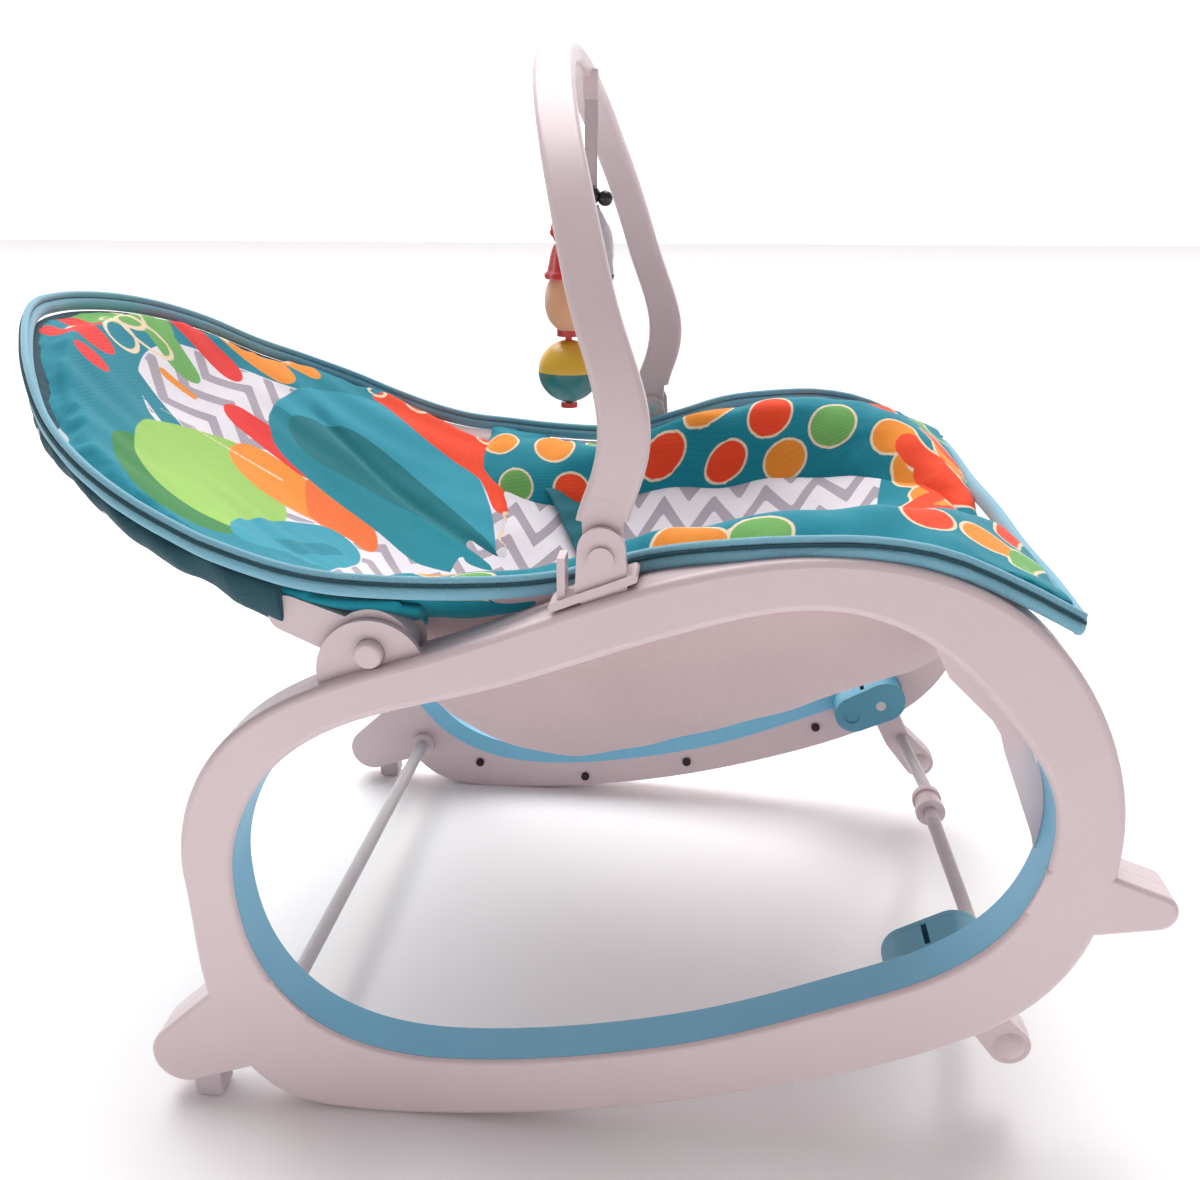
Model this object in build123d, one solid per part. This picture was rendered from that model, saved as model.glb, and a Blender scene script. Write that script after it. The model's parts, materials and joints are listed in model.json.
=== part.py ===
from build123d import *
import os
from math import cos, radians, sin, sqrt

# Bouncer seat that grows into a toddler rocker. Millimetres. Z = 0 is the floor under the rockers,
# Y = 0 is the middle plane and +X points to the child's feet. "right" is the -Y side, "left" the +Y side.
# Everything is drawn in one frame and saved MIDDLE_X further back, so that X = 0 of the saved parts is
# the middle of the length.

# ---------------------------------------------------------------- driving dimensions
MIDDLE_X = 12.0         # drawn X of the middle of the length
HEAD_X = -328.0         # head end of the backrest
NOSE_X = 352.0          # tip of the front lobes
RAIL_OUT = 215.0        # outer face of each rocker rail, from the middle plane
RAIL_SPLIT = 201.0      # joint between a rail's outer shell and its inner cover
RAIL_IN = 187.0         # inner face of each rail
WALL = 2.4              # moulded wall
LIP = 2.6               # white lip that stays outside the blue liner
LINER_DEPTH = 15.0      # how far the liner's flange reaches into the rail
GAP = 0.3               # assembly gap between separate mouldings
ROCKER_R = 800.0        # rolling radius of the rockers
ROCKER_X = -90.0        # where the rockers touch the floor
RECLINE_X, RECLINE_Z = -66.0, 290.0     # recline axis
HUB_X, HUB_Z, HUB_R = -66.0, 278.0, 29.5
ARM_ANGLE, ARM_LENGTH = 22.0, 48.0      # seat-back arms at rest
BACK_TUBE_R, TUBE_WALL = 6.25, 1.3
BAR_X, BAR_Z = 54.0, 345.0              # fold axis of the toy bar
BAR_SPAN, BAR_HEIGHT = 200.0, 181.5     # half span and rise of the arch above the legs
BAR_FOOT_Z = 408.0
BAR_THICK = 11.0
STAND_X, STAND_Z = 250.0, 106.0         # kickstand pivot
REAR_TUBE_X, REAR_TUBE_Z, REAR_TUBE_R = -146.0, 40.0, 5.0
FRONT_TUBE_X, FRONT_TUBE_Z, FRONT_TUBE_R = 266.0, 287.0, 6.5
SIDES = (("right", -1), ("left", 1))


# ---------------------------------------------------------------- helpers
def save(shape, node):
    """Write one sub-part under its node name."""
    export_step(Pos(-MIDDLE_X, 0, 0) * shape, f"parts/{node}.step")


def mirror_side(shape, side):
    """Parts are drawn on the +Y side and mirrored to the -Y side."""
    return shape if side > 0 else mirror(shape, about=Plane.XZ)


def rocker_z(x):
    """Height of the rolling surface at x."""
    return ROCKER_R - sqrt(ROCKER_R**2 - (x - ROCKER_X) ** 2)


def moved_along_normal(points, inset):
    """Points of a closed clockwise outline, moved inwards by inset."""
    moved = []
    count = len(points)
    for i, (x, z) in enumerate(points):
        x0, z0 = points[i - 1]
        x1, z1 = points[(i + 1) % count]
        length = sqrt((x1 - x0) ** 2 + (z1 - z0) ** 2)
        moved.append((x + inset * (z1 - z0) / length, z - inset * (x1 - x0) / length))
    return moved


def outline_face(points, inset=0.0):
    """Face in the XZ plane inside a smooth closed outline."""
    shifted = moved_along_normal(points, inset)
    edge = Spline([(x, 0, z) for x, z in shifted], periodic=True)
    return make_face(edge)


def along_y(face, y0, y1):
    """Solid from a face in the XZ plane, between two distances from the middle plane."""
    placed = Pos(0, y0, 0) * face
    return extrude(placed, amount=y1 - y0, dir=(0, 1, 0))


def disc(x, z, radius, y0, y1):
    """Cylinder along Y."""
    return Pos(x, (y0 + y1) / 2, z) * Rot(90, 0, 0) * Cylinder(radius, abs(y1 - y0))


def hull_block(circles, y0, y1):
    """Solid between y0 and y1 whose outline wraps a row of circles (x, z, radius)."""
    solid = None
    for (xa, za, ra), (xb, zb, rb) in zip(circles, circles[1:]):
        span = sqrt((xb - xa) ** 2 + (zb - za) ** 2)
        ux, uz = (xb - xa) / span, (zb - za) / span
        lean = (ra - rb) / span
        rise = sqrt(1 - lean**2)
        corners = []
        for x, z, r, s in ((xa, za, ra, 1), (xb, zb, rb, 1), (xb, zb, rb, -1), (xa, za, ra, -1)):
            nx, nz = ux * lean - s * uz * rise, uz * lean + s * ux * rise
            corners.append((x + nx * r, 0, z + nz * r))
        piece = along_y(make_face(Polyline(corners, close=True)), y0, y1)
        piece = piece + disc(xa, za, ra, y0, y1) + disc(xb, zb, rb, y0, y1)
        solid = piece if solid is None else solid + piece
    return solid


def pipe(path, radius):
    """Round bar along a path of straight runs and arcs."""
    start = Plane(origin=path @ 0, z_dir=path % 0)
    return sweep(start * Circle(radius), path=path)


def both_halves(points):
    """Mirror a half route (drawn on the -Y side, ending short of the middle) into a whole one."""
    return points + [(x, -y, z) for x, y, z in reversed(points)]


def between(table, x):
    """Straight-line value at x in a short table of (x, value)."""
    for (xa, va), (xb, vb) in zip(table, table[1:]):
        if xa <= x <= xb:
            return va + (vb - va) * (x - xa) / (xb - xa)
    return table[0][1] if x < table[0][0] else table[-1][1]


# ---------------------------------------------------------------- rail outlines (x, z), clockwise
RAIL_OUTLINE = [(-180, 150), (-174, 196), (-150, 236), (-105, 267), (-40, 290), (30, 316), (100, 340),
                (165, 350), (225, 341), (272, 313), (304, 268), (319, 215), (317, 170), (304, 128),
                (282, 99)]
RAIL_OUTLINE += [(x, rocker_z(x)) for x in (240, 165, 75, -15, ROCKER_X)]
RAIL_OUTLINE += [(-135, 9), (-164, 42), (-177, 95)]

WINDOW_OUTLINE = [(-151, 150), (-144, 188), (-118, 227), (-72, 254), (-10, 272), (50, 293), (108, 313),
                  (168, 323), (216, 307), (256, 269), (282, 228), (284, 190), (270, 152), (240, 122),
                  (190, 97), (120, 69), (50, 51), (-15, 42), (-70, 44), (-115, 64), (-143, 103)]

# Web of the inner cover that fills the upper front corner of the window.
CORNER_WEB = [(212, 330), (217, 306), (230, 281), (254, 258), (259, 250), (262, 240), (281, 192), (286, 172),
              (320, 172), (320, 330)]

REAR_LOBE = [(-146, 60, 30), (-194, 31, 19)]
FRONT_LOBE = [(296, 169, 22), (NOSE_X - 10.5, 165, 10.5)]


def rail_band(y0, y1, outer_inset=0.0, window_inset=0.0):
    """The loop between the outline and the window, each set in by some distance."""
    band = outline_face(RAIL_OUTLINE, outer_inset) - outline_face(WINDOW_OUTLINE, -window_inset)
    return along_y(band, y0, y1)


def lower_half(y0, y1):
    """Everything below the slanting line where the blue liner ends."""
    corners = [(-400, 0, -50), (400, 0, -50), (400, 0, 252), (-400, 0, 206)]
    return along_y(make_face(Polyline(corners, close=True)), y0, y1)


def liner_block(extra):
    """Space of the liner: a band round the lower part of the window."""
    y0, y1 = RAIL_IN - 1 - extra, RAIL_OUT - LIP + extra - GAP
    ring = outline_face(WINDOW_OUTLINE, -LINER_DEPTH - extra) - outline_face(WINDOW_OUTLINE, extra)
    return along_y(ring, y0, y1) & Pos(0, 0, extra) * lower_half(y0 - 1, y1 + 1)


def lobes(y0, y1, inset=0.0):
    """Rear and front stop lobes of a rail."""
    solids = None
    for row in (REAR_LOBE, FRONT_LOBE):
        block = hull_block([(x, z, r - inset) for x, z, r in row], y0, y1)
        solids = block if solids is None else solids + block
    return solids


def window_block():
    """The window right through a rail, used to trim the lobes."""
    return along_y(outline_face(WINDOW_OUTLINE), RAIL_IN - 5, RAIL_OUT + 5)


def hub_pocket():
    """Space in the rail where the seat-back arm turns."""
    pocket = disc(RECLINE_X, RECLINE_Z, 23.5, RAIL_IN - 5, RAIL_OUT - 11.7)
    swing = Pos(RECLINE_X - 40, RAIL_IN + 5, RECLINE_Z + 28) * Box(80, 21.6, 56)
    return pocket + swing


def rail_shell():
    """Outer half of a rail: face, edge walls, lobes and the hub's outer plate."""
    body = rail_band(RAIL_SPLIT, RAIL_OUT)
    rims = body.edges().filter_by_position(Axis.Y, RAIL_OUT - 0.01, RAIL_OUT + 0.01)
    body = fillet(rims, 4.0)
    ends = lobes(RAIL_SPLIT, RAIL_OUT)
    end_rims = ends.edges().filter_by_position(Axis.Y, RAIL_OUT - 0.01, RAIL_OUT + 0.01)
    ends = fillet(end_rims, 3.0) - window_block()
    hub = disc(HUB_X, HUB_Z, HUB_R, RAIL_SPLIT + 2.3, RAIL_OUT - 7.7) - window_block()
    cavity = rail_band(RAIL_SPLIT - 1, RAIL_OUT - WALL, WALL, WALL)
    cavity = cavity + (lobes(RAIL_SPLIT - 1, RAIL_OUT - WALL, WALL) - window_block())
    shell = body + ends - cavity + hub
    shell = shell - liner_block(GAP) - hub_pocket()
    return shell - disc(RECLINE_X, RECLINE_Z, 7.8, RAIL_SPLIT - 2, RAIL_OUT - 5)


def rail_cover():
    """Inner half of a rail: face, edge walls, the rear tube's cup and the pocket for the arm."""
    body = rail_band(RAIL_IN, RAIL_SPLIT - 0.2) + (lobes(RAIL_IN, RAIL_SPLIT - 0.2) - window_block())
    cavity = rail_band(RAIL_IN + WALL, RAIL_SPLIT + 1, WALL, WALL)
    cavity = cavity + (lobes(RAIL_IN + WALL, RAIL_SPLIT + 1, WALL) - window_block())
    cup = disc(REAR_TUBE_X, REAR_TUBE_Z, 10, RAIL_IN - 7, RAIL_IN)
    cup = cup + disc(FRONT_TUBE_X, FRONT_TUBE_Z, 12, RAIL_IN - 6, RAIL_IN)
    web = make_face(Polyline([(x, 0, z) for x, z in CORNER_WEB], close=True))
    web = along_y(web, RAIL_IN, RAIL_IN + WALL) & along_y(outline_face(WINDOW_OUTLINE, -1), RAIL_IN, RAIL_SPLIT)
    cover = body - cavity + cup + web - liner_block(GAP) - hub_pocket()
    cover = cover - disc(REAR_TUBE_X, REAR_TUBE_Z, REAR_TUBE_R, RAIL_IN - 8, RAIL_IN)
    return cover - disc(FRONT_TUBE_X, FRONT_TUBE_Z, FRONT_TUBE_R, RAIL_IN - 8, RAIL_IN)


def rail_liner():
    """Blue channel that closes the lower part of the window."""
    ring = liner_block(0)
    core = outline_face(WINDOW_OUTLINE, -LINER_DEPTH - 1) - outline_face(WINDOW_OUTLINE, -WALL)
    core = along_y(core, RAIL_IN - 1 + WALL, RAIL_OUT)
    return ring - core


def rear_stop():
    """Pad under the rear lobe that the tilted seat rests on."""
    pad = Pos(-182, 203, 9) * Box(16, 16, 18)
    pad = fillet(pad.edges().filter_by(Axis.Y).group_by(Axis.Z)[0], 3)
    return pad - lobes(RAIL_IN - 1, RAIL_OUT + 1) - rail_band(RAIL_IN - 1, RAIL_OUT + 1)


def rail_screws(side):
    """Screw heads on a rail's inner face."""
    heads = []
    for x, z in ((-95, 23), (0, 14), (90, 33), (200, 72), (309, 222), (-173, 150)):
        heads.append(mirror_side(disc(x, z, 3.6, RAIL_IN - 2.2, RAIL_IN), side))
    return heads


# ---------------------------------------------------------------- recline hub
def arm_block(y0, y1, extra=0.0):
    """Straight block from the recline axis to the end of the arm."""
    end_x = RECLINE_X - ARM_LENGTH * cos(radians(ARM_ANGLE))
    end_z = RECLINE_Z + ARM_LENGTH * sin(radians(ARM_ANGLE))
    return hull_block([(RECLINE_X, RECLINE_Z, 12 + extra), (end_x, end_z, 10 + extra)], y0, y1)


def back_arm():
    """Rotor and socket that carry one end of the seat-back tube."""
    y0, y1 = RAIL_IN + 0.5, RAIL_OUT - 12.5
    arm = arm_block(y0, y1)
    arm = arm + disc(RECLINE_X, RECLINE_Z, 22, y0, y1)
    arm = arm - disc(RECLINE_X, RECLINE_Z, 5.05, y0 - 1, y1 + 1)
    arm = arm - disc(RECLINE_X, RECLINE_Z, 8.3, y1 - 4.5, y1 + 1)
    return arm - mirror_side(pipe(back_path(), BACK_TUBE_R), -1)


def hub_cap():
    """Round cap on the rail's inner face that holds the recline pin."""
    cap = disc(RECLINE_X, RECLINE_Z, 25, RAIL_IN - 4, RAIL_IN - 0.2)
    cap = fillet(cap.edges().group_by(Axis.Y)[0], 2)
    return cap - disc(RECLINE_X, RECLINE_Z, 5, RAIL_IN - 2, RAIL_IN + 1)


def recline_pin():
    """Steel pin of the recline axis."""
    return disc(RECLINE_X, RECLINE_Z, 5, RAIL_IN - 2, RAIL_OUT - 17.5)


def recline_button():
    """Push button that frees the detent."""
    button = disc(RECLINE_X, RECLINE_Z, 7.6, RAIL_OUT - 11.6, RAIL_OUT - 2)
    return fillet(button.edges().group_by(Axis.Y)[-1], 2.5)


# ---------------------------------------------------------------- seat back
def back_path():
    """Route of the seat-back tube round the backrest."""
    half = [(-88, -195, 298.9), (-128, -195, 315.0), (-200, -190, 355), (-262, -140, 387), (-311, -62, 415)]
    return FilletPolyline(both_halves(half), radius=[45, 70, 60, 55, 55, 60, 70, 45])


def back_tube():
    """Bent steel tube of the seat back."""
    return pipe(back_path(), BACK_TUBE_R) - pipe(back_path(), BACK_TUBE_R - TUBE_WALL)


def back_sleeve():
    """Fabric sleeve sewn round the seat-back tube."""
    sleeve = pipe(back_path(), BACK_TUBE_R + 1.6) - pipe(back_path(), BACK_TUBE_R)
    return sleeve & Pos(-316, 0, 380) * Box(380, 480, 300)


# Backrest surface: edge height, sag in the middle and half width, against x.
BACK_EDGE = [(HEAD_X, 446), (-318, 443), (-300, 434), (-280, 420), (-255, 400), (-225, 384), (-190, 366),
             (-150, 347), (-100, 332), (-66, 329)]
BACK_SAG = [(HEAD_X, 2), (-300, 8), (-255, 24), (-190, 48), (-100, 76), (-66, 84)]
BACK_HALF = [(HEAD_X, 14), (-318, 46), (-300, 85), (-280, 120), (-255, 153), (-225, 180), (-190, 200),
             (-150, 208), (-100, 208), (-66, 206)]
BACK_MIDDLE_THICK = [(HEAD_X, 5), (-300, 6), (-270, 20), (-66, 24)]

# Seat surface: edge height, sag, half width and height of the sling below the middle.
SEAT_EDGE = [(-30, 328), (30, 327), (80, 345), (110, 352), (150, 356), (190, 356), (220, 350), (250, 338),
             (288, 320)]
SEAT_SAG = [(-30, 100), (0, 112), (50, 118), (100, 128), (150, 112), (190, 92), (220, 68), (250, 40),
            (275, 16), (288, 4)]
SEAT_HALF = [(-30, 198), (10, 190), (30, 186), (80, 186), (105, 200), (150, 205), (288, 205)]
SLING_LOW = [(-85, 222), (-60, 188), (-20, 163), (20, 153), (60, 161), (110, 176), (170, 201), (240, 242),
             (252, 250)]
SLING_HIGH = [(-85, 268), (20, 280), (60, 292), (170, 310), (252, 296)]
SEAT_STATIONS = (-30, -15, 0, 15, 30, 55, 80, 110, 150, 190, 220, 250)
SHARES = tuple(step / 10 for step in range(-10, 11))


def hammock_z(x, y, edge, sag, half):
    """Height of a surface that hangs between its two edges."""
    return between(edge, x) - between(sag, x) * (1 - min(1.0, abs(y) / between(half, x)) ** 1.5)


def section(x, ring):
    """Closed outline at one x, from (y, z) points."""
    return make_face(Polyline([(x, y, z) for y, z in ring], close=True))


def stacked(sections):
    """Solid through a row of outlines with the same number of corners."""
    return loft(sections, ruled=True)


def backrest_pad():
    """Padded backrest."""
    faces = []
    for x in (HEAD_X, -318, -300, -280, -255, -225, -190, -150, -100, -68):
        half, middle = between(BACK_HALF, x), between(BACK_MIDDLE_THICK, x)
        top, bottom = [], []
        for share in (-1, -0.86, -0.6, -0.3, 0, 0.3, 0.6, 0.86, 1):
            y = share * half
            z = hammock_z(x, y, BACK_EDGE, BACK_SAG, BACK_HALF)
            top.append((y, z))
            bottom.append((y, z - (middle if abs(share) < 0.8 else min(middle, 7.5))))
        faces.append(section(x, top + bottom[::-1]))
    pad = stacked(faces) - pipe(back_path(), BACK_TUBE_R + 2.2)
    for side in (1, -1):
        pad = pad - mirror_side(disc(RECLINE_X, RECLINE_Z, 30, RAIL_IN - 5, RAIL_OUT), side)
        pad = pad - mirror_side(arm_block(RAIL_IN - 0.5, RAIL_OUT, 1.0), side)
    return pad.solids().sort_by(SortBy.VOLUME)[-1]


def seat_strip(stations, shares, thick, edge_thick):
    """Part of the seat pad between two shares of the half width."""
    faces = []
    for x in stations:
        half = between(SEAT_HALF, x)
        top, bottom = [], []
        for share in shares:
            y = share * half
            z = hammock_z(x, y, SEAT_EDGE, SEAT_SAG, SEAT_HALF)
            top.append((y, z))
            bottom.append((y, z - (edge_thick if abs(share) > 0.9 else thick)))
        faces.append(section(x, top + bottom[::-1]))
    strip = stacked(faces)
    for side in (1, -1):
        rail = along_y(outline_face(RAIL_OUTLINE, -0.6), RAIL_IN - 0.6, RAIL_OUT + 1)
        strip = strip - mirror_side(rail, side)
    return strip.solids().sort_by(SortBy.VOLUME)[-1]


def strap_piece(stations, width, thick, lift):
    """Flat webbing that lies on the seat; stations are (x, y) of its middle line."""
    faces = []
    for x, y in stations:
        z = hammock_z(x, y, SEAT_EDGE, SEAT_SAG, SEAT_HALF) + lift
        corners = [(x - width / 2, y, z), (x + width / 2, y, z),
                   (x + width / 2, y, z + thick), (x - width / 2, y, z + thick)]
        faces.append(make_face(Polyline(corners, close=True)))
    return stacked(faces)


def crotch_pad():
    """Soft pad of the seat belt that comes up between the legs."""
    faces = []
    for x, half in ((62, 26), (80, 24), (105, 19), (130, 17), (150, 16)):
        z = hammock_z(x, 0, SEAT_EDGE, SEAT_SAG, SEAT_HALF) + 8
        faces.append(section(x, [(-half, z), (half, z), (half - 3, z + 8), (3 - half, z + 8)]))
    return stacked(faces)


def buckle():
    """Centre buckle of the seat belt."""
    z = hammock_z(46, 0, SEAT_EDGE, SEAT_SAG, SEAT_HALF) + 13.5
    body = Pos(46, 0, z) * Box(30, 40, 10)
    body = fillet(body.edges().filter_by(Axis.Z), 6)
    return fillet(body.edges().group_by(Axis.Z)[-1], 2)


def seat_sling():
    """Thin fabric sling under the seat."""
    faces = []
    half, thick = 182.0, 3.0
    for x in (-85, -60, -20, 20, 60, 110, 170, 240, 252):
        low, high = between(SLING_LOW, x), between(SLING_HIGH, x)
        top, bottom = [], []
        for share in SHARES:
            z = low + (high - low) * abs(share) ** 2.6
            top.append((share * (half - thick), z + thick))
            bottom.append((share * half, z))
        faces.append(section(x, top + bottom[::-1]))
    return stacked(faces)


# ---------------------------------------------------------------- kickstand
def clamp_block(y0, y1):
    """Outline of the kickstand housing."""
    return hull_block([(229, 97, 16), (253, 109, 17)], y0, y1)


def stand_clamp():
    """Housing on the rail's inner face; its cavity is open at the bottom."""
    block = clamp_block(165.2, RAIL_IN - 1.2)
    cavity = Pos(265, 174.7, 88) * Box(64, 18.4, 62)
    return block - cavity - disc(STAND_X, STAND_Z, 4, 160, RAIL_IN)


def stand_clamp_cover():
    """Outer plate of the kickstand housing."""
    plate = clamp_block(160, 165)
    plate = fillet(plate.edges().group_by(Axis.Y)[0], 1.5)
    plate = plate - disc(227, 96, 6.5, 158, 161.2)
    return plate - disc(STAND_X, STAND_Z, 4, 158, 170)


def stand_pin():
    """Pivot pin of the kickstand."""
    return disc(STAND_X, STAND_Z, 4, 160, RAIL_IN - 1.2)


def stand_foot():
    """Leg that swings in the housing and ends in a rounded foot."""
    leg = hull_block([(STAND_X, STAND_Z, 10.5), (266, 74, 10), (286, 52, 12)], 166.2, 183.2)
    foot = Pos(286, 174.7, 52) * Sphere(12.5)
    leg = leg + (foot & Pos(286, 174.7, 52) * Box(30, 30, 30))
    leg = leg - disc(STAND_X, STAND_Z, 4.05, 160, 190)
    return leg - mirror_side(pipe(stand_path(), 4.75), -1)


def stand_path():
    """Route of the right half of the kickstand tube, from the foot to the middle."""
    route = [(268, -175, 76), (284, -88, 60), (264, -20, 104), (264, -0.5, 104)]
    return FilletPolyline(route, radius=[60, 12])


def stand_knuckle():
    """Sleeve that joins the two kickstand tubes in the middle."""
    sleeve = disc(264, 104, 8.5, -11, 11) + disc(264, 104, 10, -11, -6) + disc(264, 104, 10, 6, 11)
    return sleeve - disc(264, 104, 4.75, -12, 12)


# ---------------------------------------------------------------- toy bar
# Width of the arch against height.
BAR_WIDTHS = [(BAR_Z, 27), (BAR_FOOT_Z, 25.5), (480, 23.5), (530, 22.5), (600, 22)]


def bar_path():
    """Centre line of the toy bar, an arch that leans back towards its top."""
    points = []
    for step in range(0, 13):
        angle = radians(15 * step)
        y, rise = -BAR_SPAN * cos(angle), sin(angle)
        points.append((64 - 53 * rise**1.07, y, BAR_FOOT_Z + BAR_HEIGHT * rise))
    return points


def bar_section(point, along):
    """Rounded strap section, wide along X, square to the arch and narrower in its upper part."""
    plane = Plane(origin=point, x_dir=(1, 0, 0), z_dir=along)
    return plane * RectangleRounded(between(BAR_WIDTHS, point[2]), BAR_THICK, 3.5)


def toy_bar_arch():
    """Arched band of the toy bar with its two legs."""
    points = bar_path()
    low = [(BAR_X, -BAR_SPAN, BAR_Z + 18), (61, -BAR_SPAN, BAR_Z + 40)]
    route = low + points + [(x, -y, z) for x, y, z in reversed(low)]
    sections = []
    for i, point in enumerate(route):
        before = Vector(*route[max(i - 1, 0)])
        after = Vector(*route[min(i + 1, len(route) - 1)])
        along = after - before
        flat = Vector(0, along.Y, along.Z)
        sections.append(bar_section(point, flat))
    arch = loft(sections)
    for side in (1, -1):
        tongue = hull_block([(BAR_X, BAR_Z, 9), (BAR_X, BAR_Z + 19, 10)], BAR_SPAN - 5.5, BAR_SPAN + 5.5)
        tongue = tongue - disc(BAR_X, BAR_Z, 4.05, BAR_SPAN - 10, BAR_SPAN + 10)
        arch = arch + mirror_side(tongue, side)
    for x, y in TOYS.values():
        arch = arch + toy_lugs(x, y)
    return arch


def bar_socket():
    """Bracket on the rail's top: base, two cheeks and the clip post."""
    base = hull_block([(30, 320, 2.2), (70, 336, 2.2)], BAR_SPAN - 12, BAR_SPAN + 12)
    outer = hull_block([(BAR_X, 330, 13), (BAR_X, BAR_Z + 4, 12)], BAR_SPAN + 6, BAR_SPAN + 10)
    inner = hull_block([(BAR_X, 330, 13), (BAR_X, BAR_Z, 10)], BAR_SPAN - 9, BAR_SPAN - 6)
    post = Pos(34, BAR_SPAN + 3, 332) * Box(4, 14, 26)
    boss = disc(BAR_X, BAR_Z, 6.5, BAR_SPAN + 10, BAR_SPAN + 12)
    socket = base + outer + inner + post + boss
    socket = socket - along_y(outline_face(RAIL_OUTLINE, -0.1), RAIL_IN - 20, RAIL_OUT + 5)
    socket = socket - disc(BAR_X, BAR_Z, 4, BAR_SPAN - 20, BAR_SPAN + 9)
    return socket.solids().sort_by(SortBy.VOLUME)[-1]


def bar_pin():
    """Pin on which the toy bar folds."""
    return disc(BAR_X, BAR_Z, 4, BAR_SPAN - 9, BAR_SPAN + 9)


# ---------------------------------------------------------------- hanging toys
TOY_PIVOT_Z = 571.0
TOYS = {"right": (18.0, -45.0), "left": (22.0, 45.0)}
BALL_Z, BALL_R = 411.0, 18.5


def toy_lugs(x, y):
    """Two cheeks under the toy bar and the pin that a toy's strap hangs on."""
    lugs = None
    for side in (-1, 1):
        cheek = Pos(x, y + side * 2.8, TOY_PIVOT_Z + 5) * Box(9, 1.8, 18)
        lugs = cheek if lugs is None else lugs + cheek
    return lugs + disc(x, TOY_PIVOT_Z, 1.6, y - 3, y + 3)


def toy_strap(x, y, low):
    """Ribbon that hangs on the lug's pin."""
    ribbon = Pos(x, y, (TOY_PIVOT_Z + low) / 2) * Box(9, 2.8, TOY_PIVOT_Z - low)
    ribbon = ribbon + disc(x, TOY_PIVOT_Z, 4.5, y - 1.4, y + 1.4)
    return ribbon - disc(x, TOY_PIVOT_Z, 1.66, y - 3, y + 3)


def toy_hat(x, y):
    """Pointed cap with two beads over it, on the strap of the ball toy."""
    cap = Pos(x, y, 476.5) * Cone(12.5, 8, 20) + Pos(x - 3, y, 492) * Sphere(8)
    return cap + Pos(x - 4, y, 501) * Cylinder(2.5, 8) + Pos(x - 5, y, 507) * Sphere(5)


def toy_head(x, y):
    """Round soft head of the ball toy, flat where the cap sits on it."""
    head = Pos(x + 1, y, 450) * Sphere(15.5)
    return head & Pos(x, y, 446.4) * Box(40, 40, 40)


def toy_spindle(x, y):
    """Rod through the rattle ball, with a collar over it and a button under it."""
    rod = Pos(x, y, BALL_Z + 4.5) * Cylinder(2, 2 * BALL_R + 14)
    rod = rod + Pos(x, y, BALL_Z + BALL_R + 6.7) * Cylinder(7, 9) + Pos(x, y, BALL_Z - BALL_R - 1.9) * Cylinder(5, 3)
    return rod - toy_head(x, y)


def toy_ball(x, y, upper):
    """Upper or lower half of the hollow rattle ball, bored for its spindle."""
    ball = Pos(x, y, BALL_Z) * (Sphere(BALL_R) - Sphere(BALL_R - 2))
    middle = BALL_Z + (BALL_R if upper else -BALL_R)
    half = ball & Pos(x, y, middle) * Box(3 * BALL_R, 3 * BALL_R, 2 * BALL_R)
    return half - Pos(x, y, BALL_Z) * Cylinder(2.06, 3 * BALL_R)


def drop_body(x, y):
    """Soft drop-shaped body of the second toy."""
    body = Pos(x + 1, y, 480) * Sphere(14) + Pos(x, y, 494) * Cone(13, 7, 20)
    return body + Pos(x + 7, y, 466) * Sphere(8) + Pos(x + 10, y, 456) * Sphere(4)


def drop_beads(x, y):
    """Three beads over the second toy."""
    row = Pos(x, y, 510) * Sphere(6) + Pos(x + 9, y, 508) * Sphere(5) + Pos(x - 9, y, 508) * Sphere(5)
    return row - drop_body(x, y)


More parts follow.
